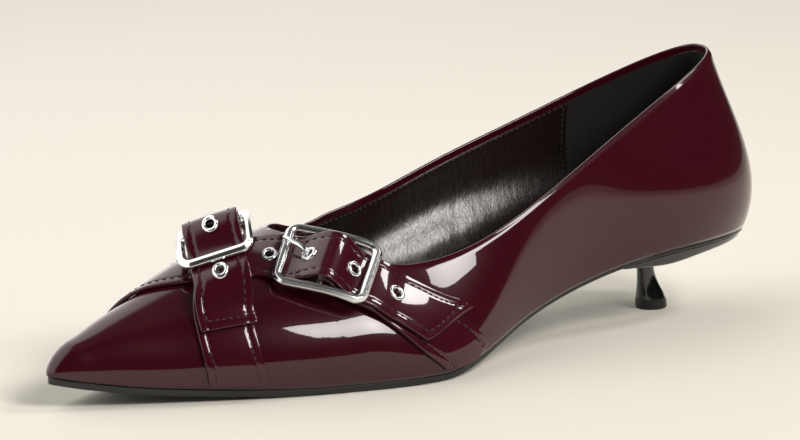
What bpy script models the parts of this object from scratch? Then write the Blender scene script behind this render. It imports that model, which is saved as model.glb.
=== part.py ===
"""Kitten heel pump with two crossed buckle straps, a left shoe.

The shoe is built toe towards -X and heel towards +X. The side towards -Y is the outer
(lateral) side, called near; the side towards +Y is the inner (medial) side, called far.
All shapes are worked out in shoe coordinates, with the toe tip at x = 0 and the floor at
z = 0, and the whole shoe is then centred over the origin by its parent empty.
"""
import math

import bmesh
import bpy
import numpy as np

MM = 0.001
NEAR = -1
FAR = 1

# Main sizes of the last
LENGTH = 262 * MM
BALL_WIDTH = 78 * MM
VAMP_HEIGHT = 43.2 * MM
BACK_HEIGHT = 84.7 * MM
SEAT_HEIGHT = 24.9 * MM
TOE_SPRING = 8.0 * MM
TOE_RADIUS = 9.0 * MM
HEEL_BULGE = 1.9 * MM
COLLAR_LEAN = 8.4 * MM
THROAT = 84 * MM
THROAT_ROUND = 30 * MM

# Thicknesses and clearances
WALL = 1.8 * MM
SOLE_EDGE = 2.3 * MM
SOLE_INSET = 0.5 * MM
INSOLE_THICK = 1.6 * MM
CLEARANCE = 0.3 * MM

# Heel
HEEL_AT = 232.3 * MM
TIP_RADIUS = 5.2 * MM
TIP_HEIGHT = 3.5 * MM
SEAT_DEPTH = 3.2 * MM
SEAT_FRONT = 203 * MM
SEAT_INSET = 1.4 * MM
PIN_LEAN = 2.6 * MM

# Straps and buckles
STRAP_WIDTH = 17.8 * MM
STRAP_THICK = 1.3 * MM
STRAP_EASE = 0.35 * MM
LAYER = STRAP_THICK + CLEARANCE
BUCKLE_WIDTH = 24.0 * MM
BUCKLE_LENGTH = 28.3 * MM
BAR_WIDTH = 2.5 * MM
BAR_HEIGHT = 2.2 * MM
BAR_GAP = 0.55 * MM
CENTRE_BAR = 1.8 * MM
CORNER_ROUND = 4.0 * MM
PRONG = 1.3 * MM
EYELET_PITCH = 14.2 * MM
EYELET_OUTER = 5.3 * MM
EYELET_HOLE = 2.6 * MM
EYELET_WALL = 0.35 * MM
EYELET_RIM = 0.5 * MM
FIT = 0.15 * MM
RAMP = 8.0 * MM
HELD_RAMP = 13.0 * MM
SPINE = 10.0 * MM
FOOT_SHARE = 0.03

# Share of the length where the rounded heel begins, and how square the rounds are
HEEL_ROUND_FROM = 0.782
SEAT_POWER = 2.6
COLLAR_POWER = 2.3
# The vamp is an elliptical dome that starts this far below its widest level
DOME_START = math.radians(-12)
# How much narrower than an ellipse the dome is near its crest, and where that is reached
PEAK = 0.27
PEAK_FROM = 0.16
# The dome hands over to the side walls between these shares of the length
SIDES_FROM = 0.335
SIDES_TO = 0.48

# Sole outline: shares of LENGTH and BALL_WIDTH
OUTLINE = {
    "columns": ("at", "near", "far"),
    "rows": (
        (0.000, 0.059, 0.059),
        (0.038, 0.103, 0.097),
        (0.076, 0.159, 0.151),
        (0.153, 0.273, 0.251),
        (0.248, 0.406, 0.359),
        (0.344, 0.508, 0.430),
        (0.420, 0.559, 0.438),
        (0.496, 0.528, 0.388),
        (0.592, 0.415, 0.306),
        (0.687, 0.341, 0.292),
        (0.782, 0.326, 0.318),
        (0.885, 0.345, 0.356),
        (1.000, 0.352, 0.360),
    ),
}
# Underside of the sole: shares of LENGTH, TOE_SPRING, SEAT_HEIGHT and SOLE_EDGE
PROFILE = {
    "columns": ("at", "spring", "seat", "edge"),
    "rows": (
        (0.000, 1.00, 0.000, 1.00),
        (0.076, 0.54, 0.000, 1.00),
        (0.172, 0.22, 0.000, 1.00),
        (0.286, 0.01, 0.000, 1.00),
        (0.350, -0.03, 0.000, 1.00),
        (0.420, -0.03, -0.004, 1.00),
        (0.456, 0.00, 0.000, 0.98),
        (0.496, 0.00, 0.066, 0.90),
        (0.542, 0.00, 0.205, 0.80),
        (0.592, 0.00, 0.385, 0.66),
        (0.687, 0.00, 0.662, 0.54),
        (0.782, 0.00, 0.865, 0.52),
        (0.885, 0.00, 0.976, 0.52),
        (1.000, 0.00, 1.000, 0.52),
    ),
}
# Crest of the vamp: shares of LENGTH, VAMP_HEIGHT and BALL_WIDTH
CREST = {
    "columns": ("at", "height", "offset"),
    "rows": (
        (0.000, 0.415, 0.000),
        (0.046, 0.498, 0.004),
        (0.076, 0.578, 0.008),
        (0.115, 0.668, 0.014),
        (0.160, 0.775, 0.022),
        (0.210, 0.888, 0.032),
        (0.267, 0.987, 0.043),
        (0.321, 1.050, 0.050),
        (0.363, 1.110, 0.053),
        (0.420, 1.125, 0.056),
        (0.520, 1.120, 0.056),
    ),
}
# Edge of the opening: shares of LENGTH, BALL_WIDTH and BACK_HEIGHT
TOPLINE = {
    "columns": ("at", "near", "far", "near_height", "far_height"),
    "rows": (
        (0.321, 0.215, 0.190, 0.470, 0.490),
        (0.363, 0.276, 0.240, 0.436, 0.485),
        (0.439, 0.358, 0.315, 0.410, 0.487),
        (0.534, 0.400, 0.370, 0.458, 0.525),
        (0.630, 0.381, 0.373, 0.574, 0.617),
        (0.725, 0.333, 0.341, 0.708, 0.728),
        (0.809, 0.282, 0.292, 0.824, 0.832),
        (0.885, 0.248, 0.254, 0.916, 0.921),
        (0.967, 0.225, 0.232, 1.000, 1.000),
    ),
}
# Side walls: how far they lean out per unit of rise, just above the sole and below the edge
WALLS = {
    "columns": ("at", "near_foot", "near_edge", "far_foot", "far_edge"),
    "rows": (
        (0.360, 0.30, 0.90, 0.25, 0.80),
        (0.439, 0.24, 0.72, 0.20, 0.60),
        (0.534, 0.18, 0.38, 0.22, 0.22),
        (0.630, 0.22, 0.20, 0.34, 0.06),
        (0.725, 0.30, 0.22, 0.38, 0.14),
        (0.809, 0.42, 0.34, 0.42, 0.30),
        (0.885, 0.46, 0.36, 0.46, 0.36),
        (1.000, 0.42, 0.24, 0.42, 0.24),
    ),
}
# Heel seat: shares of LENGTH and SEAT_DEPTH
SEAT = {
    "columns": ("at", "depth"),
    "rows": (
        (0.775, 0.10),
        (0.809, 0.62),
        (0.843, 0.98),
        (0.885, 0.84),
        (0.935, 0.58),
        (0.975, 0.40),
        (1.000, 0.30),
    ),
}
# Heel pin: shares of its height, TIP_RADIUS and PIN_LEAN, from the floor up
PIN = {
    "columns": ("at", "radius", "lean"),
    "rows": (
        (0.00, 1.00, 0.00),
        (0.15, 0.95, 0.12),
        (0.36, 0.70, 0.55),
        (0.50, 0.585, 0.82),
        (0.64, 0.535, 0.96),
        (0.76, 0.545, 1.00),
        (0.86, 0.66, 1.00),
        (0.93, 0.90, 1.00),
        (1.00, 1.30, 1.00),
    ),
}

# Centre line of each strap from the near sole over the vamp to the far sole. The guides
# are shares of LENGTH, BALL_WIDTH and VAMP_HEIGHT, and are drawn onto the upper's face.
ROUTES = {
    "a": (
        (0.200, -0.342, 0.09),
        (0.194, -0.336, 0.31),
        (0.193, -0.306, 0.44),
        (0.203, -0.179, 0.72),
        (0.234, 0.026, 0.93),
        (0.265, 0.186, 0.88),
        (0.309, 0.330, 0.68),
        (0.352, 0.405, 0.36),
        (0.372, 0.430, 0.06),
    ),
    "b": (
        (0.494, -0.533, 0.08),
        (0.477, -0.546, 0.21),
        (0.447, -0.536, 0.35),
        (0.399, -0.457, 0.59),
        (0.331, -0.298, 0.81),
        (0.265, -0.109, 0.92),
        (0.200, 0.009, 0.87),
        (0.163, 0.110, 0.74),
        (0.142, 0.190, 0.50),
        (0.134, 0.222, 0.28),
        (0.132, 0.230, 0.12),
    ),
}
# Buckle of each strap: the guide under its middle, the stretch of strap that lies over the
# other strap, where the long strap ends and where the prong comes through it, all measured
# from the buckle's middle towards the near side; how far the buckle tilts up towards the
# throat (roll) and the far side (pitch), how far it is arched, and how far the long strap's
# end strays from the short strap
BUCKLES = {
    "a": {"guide": 4, "over": (-6 * MM, 22 * MM), "end": 34 * MM, "prong_hole": -6.4 * MM,
          "roll": 0.08, "pitch": 0.10, "arch": 2.4 * MM, "drift": 1.0 * MM},
    "b": {"guide": 4, "over": None, "end": 43 * MM, "prong_hole": -6.0 * MM,
          "roll": 0.08, "pitch": 0.0, "arch": 1.4 * MM, "drift": 4.0 * MM},
}

COLOURS = {
    "strap": ((0.060, 0.008, 0.014), 0.12, 0.0),
    "metal": ((0.60, 0.60, 0.60), 0.12, 1.0),
    "upper": ((0.060, 0.008, 0.014), 0.12, 0.0),
    "insole": ((0.018, 0.014, 0.013), 0.45, 0.0),
    "outsole": ((0.006, 0.006, 0.006), 0.30, 0.0),
    "heel": ((0.006, 0.006, 0.006), 0.15, 0.0),
    "top_piece": ((0.010, 0.010, 0.010), 0.45, 0.0),
}


def spline(at, values, where):
    """Natural cubic curve through the table's rows, held level past both ends."""
    at = np.asarray(at, float)
    values = np.asarray(values, float)
    where = np.clip(where, at[0], at[-1])
    gap = np.diff(at)
    slope = np.diff(values) / gap
    system = np.eye(len(at))
    right = np.zeros(len(at))
    for row in range(1, len(at) - 1):
        system[row, row - 1:row + 2] = (gap[row - 1], 2 * (gap[row - 1] + gap[row]), gap[row])
        right[row] = 6 * (slope[row] - slope[row - 1])
    bend = np.linalg.solve(system, right)
    cell = np.clip(np.searchsorted(at, where) - 1, 0, len(gap) - 1)
    width = gap[cell]
    left = (at[cell + 1] - where) / width
    step = (where - at[cell]) / width
    curve = (left ** 3 - left) * bend[cell] + (step ** 3 - step) * bend[cell + 1]
    return left * values[cell] + step * values[cell + 1] + curve * width ** 2 / 6


def read(table, name, x):
    """Value of a table's named column at the distance x from the toe tip."""
    rows = np.array(table["rows"])
    column = table["columns"].index(name)
    return spline(rows[:, 0], rows[:, column], np.asarray(x, float) / LENGTH)


def side_name(side):
    return "near" if side == NEAR else "far"


def smooth_step(x, start, end):
    share = np.clip((x - start) / (end - start), 0, 1)
    return share ** 3 * (share * (6 * share - 15) + 10)


def rounded(x, radius):
    """Grows from 0 to 1 over the given distance, as a quarter circle does."""
    return np.sqrt(1 - (1 - np.clip(x / radius, 0, 1)) ** 2)


def sole_bottom(x):
    """Underside of the sole, cut flat where it meets the floor."""
    curve = read(PROFILE, "spring", x) * TOE_SPRING + read(PROFILE, "seat", x) * SEAT_HEIGHT
    return np.maximum(curve, 0)


def sole_top(x):
    return sole_bottom(x) + read(PROFILE, "edge", x) * SOLE_EDGE


def closed_plan(q, back, power):
    """Distance from the toe and width factor of an outline that closes round the heel."""
    start = HEEL_ROUND_FROM * LENGTH
    turn = np.clip((q - start) / (LENGTH - start), 0, 1) * math.pi / 2
    along = np.abs(np.sin(turn)) ** (2 / power)
    narrow = np.clip(np.cos(turn), 0, 1) ** (2 / power)
    return np.where(q < start, q, start + (back - start) * along), narrow, turn


def feather(side, q):
    """Line where the upper meets the sole, at station q, on one side."""
    x, narrow, _ = closed_plan(q, LENGTH + HEEL_BULGE, SEAT_POWER)
    half = read(OUTLINE, side_name(side), x) * BALL_WIDTH
    y = side * half * rounded(x, TOE_RADIUS) * narrow
    return x, y, sole_top(x) + CLEARANCE


def crest_offset(q):
    return read(CREST, "offset", q) * BALL_WIDTH


def upper_skin(side, q, v):
    """Outer face of the upper: q runs from toe to heel, v from the sole (0) to the edge (1).

    Up to the throat the edge is the crest of the vamp, where both sides meet. There each
    section is an elliptical dome. Behind the throat the dome stops at the topline and
    hands over to a cubic curve that leaves the sole and reaches the edge at given leans.
    """
    name = side_name(side)
    fx, fy, fz = feather(side, q)
    tx, narrow, turn = closed_plan(q, LENGTH - COLLAR_LEAN, COLLAR_POWER)
    centre = crest_offset(q)
    reach = np.maximum(side * (fy - centre), 1e-6)
    height = rounded(q, TOE_RADIUS) * (read(CREST, "height", q) * VAMP_HEIGHT - fz)
    opening = rounded(np.maximum(q - THROAT, 0), THROAT_ROUND)
    half = read(TOPLINE, name, tx) * BALL_WIDTH
    open_reach = opening * (half - side * centre)
    ty = np.where(q < HEEL_ROUND_FROM * LENGTH, side * open_reach + centre, side * half * narrow)
    start_sin = math.sin(DOME_START)
    peak = PEAK * smooth_step(q, TOE_RADIUS, PEAK_FROM * LENGTH)
    share = np.clip(open_reach * math.cos(DOME_START) / reach, 0, 1)
    cosine = share
    for _ in range(8):
        cosine = np.minimum(share / (1 - peak * (1 - cosine ** 2)), 1)
    end = np.arccos(cosine)
    angle = DOME_START + v * (end - DOME_START)
    narrow_top = 1 - peak * np.clip(np.sin(angle), 0, 1) ** 2
    dome_y = centre + side * reach / math.cos(DOME_START) * np.cos(angle) * narrow_top
    dome_rise = (np.sin(angle) - start_sin) / (1 - start_sin)
    dome_top = (np.sin(end) - start_sin) / (1 - start_sin)
    blend = smooth_step(q, SIDES_FROM * LENGTH, SIDES_TO * LENGTH)
    edge_height = read(TOPLINE, name + "_height", tx) * BACK_HEIGHT
    tz = fz + height * dome_top + blend * (edge_height - fz - height * dome_top)
    dome_z = fz + dome_rise / dome_top * (tz - fz)
    third = (tz - fz) / 3
    foot_lean = read(WALLS, name + "_foot", q) * third
    edge_lean = read(WALLS, name + "_edge", q) * third
    out_x = np.sin(turn)
    out_y = side * np.cos(turn)
    start = (1 - v) ** 3
    first = 3 * v * (1 - v) ** 2
    second = 3 * v ** 2 * (1 - v)
    last = v ** 3
    side_x = (start + first) * fx + (second + last) * tx + (first * foot_lean + second * edge_lean) * out_x
    side_y = (start + first) * fy + (second + last) * ty + (first * foot_lean + second * edge_lean) * out_y
    side_z = start * fz + first * (fz + third) + second * (tz - third) + last * tz
    x = q + blend * (side_x - q)
    y = dome_y + blend * (side_y - dome_y)
    z = dome_z + blend * (side_z - dome_z)
    return np.stack(np.broadcast_arrays(x, y, z), axis=-1)


def stations(nose, vamp, throat, sides, heel):
    """Distances from the toe of the upper's sections, closer where it turns quickly."""
    tip = TOE_RADIUS * (1 - np.cos(np.linspace(0, math.pi / 2, nose, endpoint=False)))
    front = np.linspace(TOE_RADIUS, THROAT, vamp, endpoint=False)
    curl = THROAT + THROAT_ROUND * np.linspace(0, 1, throat, endpoint=False) ** 2
    wall = np.linspace(THROAT + THROAT_ROUND, HEEL_ROUND_FROM * LENGTH, sides, endpoint=False)
    back = np.linspace(HEEL_ROUND_FROM * LENGTH, LENGTH, heel)
    return np.concatenate((tip, front, curl, wall, back))


def inset_outline(side, x, inset):
    """Half-width at x of the feather line moved inwards all round by the inset."""
    q = np.linspace(0, LENGTH, 900)
    fx, fy, _ = feather(side, q)
    gap = np.asarray(x, float)[:, None] - fx[None, :]
    if inset <= 0:
        return np.interp(x, fx, np.abs(fy))
    reach = np.sqrt(np.clip(inset ** 2 - gap ** 2, 0, None))
    near_enough = np.abs(gap) < inset
    return np.min(np.where(near_enough, np.abs(fy)[None, :] - reach, 1.0), axis=1)


def centre_at_origin(bodies, root):
    """Move the shoe so that the origin is below the middle of its box, on the floor."""
    corners = [body.matrix_world @ vertex.co for body in bodies for vertex in body.data.vertices]
    low = np.min(np.array(corners), axis=0)
    high = np.max(np.array(corners), axis=0)
    root.location = (-(low[0] + high[0]) / 2, -(low[1] + high[1]) / 2, -low[2])


def material(name):
    colour, roughness, metallic = COLOURS[name]
    made = bpy.data.materials.new(name)
    made.use_nodes = True
    shader = made.node_tree.nodes["Principled BSDF"]
    shader.inputs["Base Color"].default_value = (*colour, 1)
    shader.inputs["Roughness"].default_value = roughness
    shader.inputs["Metallic"].default_value = metallic
    return made


def add_object(name, mesh, finish, collection, root):
    body = bpy.data.objects.new(name, mesh)
    body.data.materials.append(material(finish))
    body.parent = root
    collection.objects.link(body)
    return body


def from_bmesh(name, shape):
    bmesh.ops.recalc_face_normals(shape, faces=shape.faces[:])
    mesh = bpy.data.meshes.new(name)
    shape.to_mesh(mesh)
    shape.free()
    mesh.shade_smooth()
    mesh.set_sharp_from_angle(angle=math.radians(40))
    return mesh


def grid_faces(shape, grid):
    """Quads between neighbouring points of a grid of points."""
    rows = [[shape.verts.new(point) for point in row] for row in grid]
    for one, other in zip(rows, rows[1:]):
        for index in range(len(one) - 1):
            shape.faces.new((one[index], one[index + 1], other[index + 1], other[index]))


def loft(name, rings):
    """Closed solid through rings of points, each end closed by a flat face."""
    shape = bmesh.new()
    loops = [[shape.verts.new(point) for point in ring] for ring in rings]
    count = len(loops[0])
    for one, other in zip(loops, loops[1:]):
        for index in range(count):
            after = (index + 1) % count
            shape.faces.new((one[index], one[after], other[after], other[index]))
    shape.faces.new(loops[0])
    shape.faces.new(loops[-1])
    return from_bmesh(name, shape)


def make_upper(collection, root):
    """Hollow upper: the outer face as an open surface, thickened inwards."""
    q = stations(nose=5, vamp=11, throat=6, sides=10, heel=9)[:, None]
    v = np.linspace(0, 1, 11)[None, :]
    shape = bmesh.new()
    for side in (NEAR, FAR):
        grid_faces(shape, upper_skin(side, q, v))
    bmesh.ops.remove_doubles(shape, verts=shape.verts[:], dist=0.02 * MM)
    bmesh.ops.dissolve_degenerate(shape, edges=shape.edges[:], dist=0.01 * MM)
    body = add_object("upper", from_bmesh("upper", shape), "upper", collection, root)
    wall = body.modifiers.new("wall", "SOLIDIFY")
    wall.thickness = WALL
    wall.offset = -1
    wall.use_even_offset = True
    return body


def end_spaced(start, end, count):
    """Positions from start to end, closer together at both ends."""
    return start + (end - start) * (1 - np.cos(np.linspace(0, math.pi, count))) / 2


def slab(name, finish, inset, start, end, bottom, top, edge_round, collection, root, count):
    """Sole-like layer: full outline, level across, with its lower edges eased."""
    x = end_spaced(start, end, count)
    near = -inset_outline(NEAR, x, inset)
    far = inset_outline(FAR, x, inset)
    low = bottom(x)
    high = top(x)
    ease = np.minimum(edge_round, np.minimum((far - near) / 3, (high - low) / 2))
    rings = np.stack((
        np.stack((x, near, high), axis=1),
        np.stack((x, far, high), axis=1),
        np.stack((x, far, low + ease), axis=1),
        np.stack((x, far - ease, low), axis=1),
        np.stack((x, near + ease, low), axis=1),
        np.stack((x, near, low + ease), axis=1),
    ), axis=1)
    return add_object(name, loft(name, rings), finish, collection, root)


def make_outsole(collection, root):
    end = LENGTH + HEEL_BULGE - SOLE_INSET
    start = SOLE_INSET
    trim = 0.05 * MM
    return slab("outsole", "outsole", SOLE_INSET, start + trim, end - trim,
                sole_bottom, sole_top, 0.5 * MM, collection, root, count=48)


def make_insole(collection, root):
    """Sock and board that line the inside of the upper's foot."""
    inset = WALL + 2 * CLEARANCE
    tip = 7.0 * MM
    end = LENGTH + HEEL_BULGE - inset
    trim = 0.05 * MM
    return slab("insole", "insole", inset, tip, end - trim,
                lambda x: sole_top(x) + CLEARANCE,
                lambda x: sole_top(x) + CLEARANCE + INSOLE_THICK,
                0.2 * MM, collection, root, count=34)


def seat_depth(x):
    return read(SEAT, "depth", x) * SEAT_DEPTH


def make_heel(collection, root):
    """Heel: a thin seat under the sole that runs into a waisted pin."""
    end = LENGTH + HEEL_BULGE - SEAT_INSET
    trim = 0.05 * MM
    body = slab("heel", "heel", SEAT_INSET, SEAT_FRONT, end - trim,
                lambda x: sole_bottom(x) - CLEARANCE - seat_depth(x),
                lambda x: sole_bottom(x) - CLEARANCE,
                0.9 * MM, collection, root, count=26)
    pin_top = float(sole_bottom(HEEL_AT) - CLEARANCE - 0.45 * SEAT_DEPTH)
    heights = np.linspace(TIP_HEIGHT / pin_top, 1, 12)
    pin_object = bpy.data.objects.new("heel_pin", pin_rings("heel_pin", heights, pin_top))
    pin_object.parent = root
    pin_object.hide_render = True
    pin_object.display_type = "WIRE"
    guides().objects.link(pin_object)
    join = body.modifiers.new("pin", "BOOLEAN")
    join.operation = "UNION"
    join.solver = "EXACT"
    join.object = pin_object
    return body


def pin_rings(name, heights, pin_top):
    rows = np.array(PIN["rows"])
    turn = np.linspace(0, 2 * math.pi, 28, endpoint=False)
    radius = spline(rows[:, 0], rows[:, 1], heights) * TIP_RADIUS
    lean = spline(rows[:, 0], rows[:, 2], heights) * PIN_LEAN
    rings = np.stack((
        HEEL_AT - lean[:, None] + radius[:, None] * np.cos(turn),
        radius[:, None] * np.sin(turn),
        np.broadcast_to((heights * pin_top)[:, None], (len(heights), len(turn))),
    ), axis=-1)
    return loft(name, rings)


def make_top_piece(collection, root):
    """Wearing tip under the pin, flat on the floor with an eased edge."""
    pin_top = float(sole_bottom(HEEL_AT) - CLEARANCE - 0.45 * SEAT_DEPTH)
    ease = 0.7 * MM
    rows = np.array(PIN["rows"])
    turn = np.linspace(0, 2 * math.pi, 28, endpoint=False)
    heights = np.array((0, ease, TIP_HEIGHT / 2, TIP_HEIGHT))
    radius = spline(rows[:, 0], rows[:, 1], heights / pin_top) * TIP_RADIUS
    radius[0] -= ease
    lean = spline(rows[:, 0], rows[:, 2], heights / pin_top) * PIN_LEAN
    rings = np.stack((
        HEEL_AT - lean[:, None] + radius[:, None] * np.cos(turn),
        radius[:, None] * np.sin(turn),
        np.broadcast_to(heights[:, None], (len(heights), len(turn))),
    ), axis=-1)
    return add_object("top_piece", loft("top_piece", rings), "top_piece", collection, root)


def skin_at(x, angle):
    """Point and outward normal of the upper seen from its spine, at an angle from upright."""
    def point(x, angle):
        v = np.linspace(-0.12, 1.3, 60)
        found = np.zeros((len(x), 3))
        for side in (NEAR, FAR):
            wall = upper_skin(side, x[:, None], v[None, :])
            seen = side * polar(wall)[1]
            share = [np.interp(side * one, row[::-1], v[::-1]) for one, row in zip(angle, seen)]
            face = upper_skin(side, x, np.array(share))
            found = np.where((side * angle >= 0)[:, None], face, found)
        return found

    step_x = 0.5 * MM
    step_angle = 0.02
    place = point(x, angle)
    along = point(x + step_x, angle) - point(x - step_x, angle)
    around = point(x, angle + step_angle) - point(x, angle - step_angle)
    return place, unit(np.cross(along, around))


def polar(points):
    """Distance from the toe and angle from upright of points around the spine."""
    x = points[..., 0]
    return x, np.arctan2(points[..., 1] - crest_offset(x), points[..., 2] - SPINE)


def natural(at, rows, where):
    return np.stack([spline(at, column, where) for column in np.asarray(rows).T], axis=-1)


def unit(vectors):
    return vectors / np.linalg.norm(vectors, axis=-1, keepdims=True)


def across_of(vectors, way):
    """The part of the vectors that is square to a unit direction."""
    return vectors - way * np.sum(vectors * way, axis=-1, keepdims=True)


class Path:
    """Centre line of a strap on the upper, with the frame that turns along it."""

    def __init__(self, name):
        rows = np.array(ROUTES[name]) * (LENGTH, BALL_WIDTH, VAMP_HEIGHT)
        x, angle = polar(rows)
        guide = np.stack((x, angle * 30 * MM), axis=1)
        step = np.concatenate(([0], np.cumsum(np.linalg.norm(np.diff(guide, axis=0), axis=1))))
        where = np.linspace(0, step[-1], 120)
        route = natural(step, np.stack((x, angle), axis=1), where)
        self.points, self.normals = skin_at(route[:, 0], route[:, 1])
        gaps = np.linalg.norm(np.diff(self.points, axis=0), axis=1)
        self.s = np.concatenate(([0], np.cumsum(gaps)))
        self.middle = float(np.interp(step[BUCKLES[name]["guide"]], where, self.s))
        self.arch = BUCKLES[name]["arch"]
        self.reach = BUCKLE_LENGTH / 2
        ends = np.array((-self.reach, 0, self.reach))
        rest, _, _, normals = self.skin_frame(ends)
        self.centre = rest[1]
        self.way = unit(rest[2] - rest[0])
        self.up = unit(across_of(np.mean(normals, axis=0), self.way))
        self.way = unit(self.way - self.up * BUCKLES[name]["pitch"])
        self.up = unit(across_of(self.up, self.way))
        self.centre = self.centre + self.up * self.sunk(BUCKLES[name]["roll"])

    def sunk(self, roll):
        """How far the strap's plane in the buckle would sink into the upper."""
        u = np.linspace(-self.reach - HELD_RAMP, self.reach + HELD_RAMP, 40)
        point, _, across, _ = self.frame(u)
        rest, _, rest_across, _ = self.skin_frame(u)
        deepest = 0.0
        for c in (-STRAP_WIDTH / 2, 0.0, STRAP_WIDTH / 2):
            skin, skin_up = skin_at(*polar(rest + rest_across * c))
            hug = (1 - held(u))[:, None]
            base = point + across * c + (skin - rest - rest_across * c) * hug
            rise = np.sum((base - skin) * skin_up, axis=1) + held(u) * roll * (STRAP_WIDTH / 2 + c)
            deepest = max(deepest, -float(np.min(rise)))
        return deepest

    def skin_frame(self, u):
        """Point, direction towards the near side, across and normal on the upper itself."""
        s = self.middle - np.asarray(u, float)

        def at(rows, where):
            return np.stack([np.interp(where, self.s, column) for column in rows.T], axis=-1)

        point = at(self.points, s)
        ahead = unit(at(self.points, s - 1.5 * MM) - at(self.points, s + 1.5 * MM))
        normal = unit(across_of(at(self.normals, s), ahead))
        return point, ahead, np.cross(normal, ahead), normal

    def frame(self, u):
        """As skin_frame, but in the buckle it follows the buckle's own shallow arch."""
        u = np.asarray(u, float)
        point, ahead, _, normal = self.skin_frame(u)
        share = held(u)[..., None]
        bend = (self.arch * u / self.reach ** 2)[..., None]
        point += share * (self.centre + self.way * u[..., None] - self.up * bend * u[..., None] - point)
        ahead = unit(ahead + share * (self.way - self.up * 2 * bend - ahead))
        normal = unit(across_of(normal + share * (self.up + self.way * 2 * bend - normal), ahead))
        return point, ahead, np.cross(normal, ahead), normal

    def place(self, u, c, h):
        """Point at u along the strap, c across it and h above the upper."""
        point, _, across, normal = self.frame(u)
        return point + across * np.asarray(c)[..., None] + normal * np.asarray(h)[..., None]



def window(u, start, end):
    """1 between start and end, falling to 0 over a ramp outside them."""
    return smooth_step(u, start - RAMP, start) * (1 - smooth_step(u, end, end + RAMP))


def held(u):
    """1 in the buckle, falling to 0 over a ramp outside it."""
    half = BUCKLE_LENGTH / 2
    return smooth_step(u, -half - HELD_RAMP, -half) * (1 - smooth_step(u, half, half + HELD_RAMP))


def bump(u, reach):
    return np.cos(np.clip(np.abs(u) / reach, 0, 1) * math.pi / 2) ** 2


class Fastening:
    """Heights above the upper of the layers at one buckle, at u from its middle."""

    def __init__(self, name):
        self.name = name
        self.path = Path(name)
        self.opening = BUCKLE_LENGTH / 2 - BAR_WIDTH

    def under(self, u):
        over = BUCKLES[self.name]["over"]
        u = np.asarray(u, float)
        return LAYER * window(u, *over) if over else np.zeros_like(u)

    def stand_off(self, u, c):
        """Extra height of the buckle and of the straps in it, which tilt with it."""
        roll = BUCKLES[self.name]["roll"]
        return held(u) * roll * (STRAP_WIDTH / 2 + c)

    def buckle(self, u):
        """Middle of the frame: the near bar clears two layers, the far bar one."""
        low = CLEARANCE + STRAP_THICK + BAR_GAP + BAR_HEIGHT / 2
        share = smooth_step(u, -self.opening, self.opening)
        return self.under(0.0) + low + LAYER * share

    def anchor(self, u):
        """Underside of the short strap, which rises over the centre bar."""
        flat = CLEARANCE + self.under(u)
        top = float(self.buckle(0.0)) + CENTRE_BAR / 2 + CLEARANCE
        middle = CLEARANCE + float(self.under(0.0))
        return flat + (top - middle) * bump(u, self.opening - 1.5 * MM)

    def long_strap(self, u):
        """Underside of the long strap, over the short one from the centre bar onwards."""
        flat = CLEARANCE + self.under(u) + LAYER * smooth_step(u, -self.opening, self.opening)
        middle = CLEARANCE + float(self.under(0.0)) + LAYER / 2
        top = float(self.buckle(0.0)) + CENTRE_BAR / 2 + LAYER + CLEARANCE
        return flat + (top - middle) * bump(u, self.opening - 0.3 * MM)

    def drift(self, u):
        """How far the long strap's loose end lies towards the throat."""
        settings = BUCKLES[self.name]
        share = np.clip((u - self.opening) / (settings["end"] - self.opening), 0, 1)
        return settings["drift"] * share ** 1.5

    def slope(self, u):
        step = 0.4 * MM
        return float(self.long_strap(u + step) - self.long_strap(u - step)) / (2 * step)


def strap_point(path, u, c, height, level):
    """A strap hugs the upper's face, and lies level across where a buckle holds it."""
    point, _, across, normal = path.frame(u)
    rest, _, rest_across, _ = path.skin_frame(u)
    flat = rest + rest_across * c[:, None]
    skin, skin_normal = skin_at(*polar(flat))
    hug = 1 - level[:, None]
    base = point + across * c[:, None] + (skin - flat) * hug
    return base + unit(normal + (skin_normal - normal) * hug) * height[:, None]


def foot_of(path, c, near_foot, reach):
    """Where the strap's edge at c meets the sole, measured along the strap."""
    u = np.linspace(0, reach, 60)
    side = NEAR if near_foot else FAR
    point, _, across, _ = path.frame(u)
    x, angle = polar(point + across * c)
    limit = polar(upper_skin(side, x, FOOT_SHARE))[1]
    beyond = np.abs(angle) - np.abs(limit)
    crossing = np.nonzero(beyond > 0)[0]
    if len(crossing) == 0:
        return reach
    last = crossing[0]
    share = -beyond[last - 1] / (beyond[last] - beyond[last - 1])
    return u[last - 1] + share * (u[last] - u[last - 1])


def make_strap(name, finish, fastening, start, end, layer, drift, rows, collection, root):
    """Flat band with eased upper edges, from u = start to u = end; None means the sole."""
    path = fastening.path
    half = STRAP_WIDTH / 2
    inner = half - STRAP_EASE
    ends = {}
    columns = (-half, -inner, -half / 2, 0.0, half / 2, inner, half)
    for c in columns:
        first = foot_of(path, c, False, path.middle - path.s[-1]) if start is None else start
        last = foot_of(path, c, True, path.middle) if end is None else end
        ends[c] = (first, last)
    share = np.linspace(0, 1, rows)
    bottom = (-half, -half / 2, 0.0, half / 2, half)
    ring = [(c, 0.0) for c in bottom]
    ring += [(half, STRAP_THICK - STRAP_EASE), (inner, STRAP_THICK), (half / 2, STRAP_THICK)]
    ring += [(0.0, STRAP_THICK), (-half / 2, STRAP_THICK), (-inner, STRAP_THICK)]
    ring += [(-half, STRAP_THICK - STRAP_EASE)]
    lines = []
    for c, rise in ring:
        u = ends[c][0] + (ends[c][1] - ends[c][0]) * share
        height = layer(u) + rise + fastening.stand_off(u, c)
        lines.append(strap_point(path, u, c + drift(u), height, held(u)))
    return add_object(name, loft(name, np.stack(lines, axis=1)), finish, collection, root)


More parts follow.
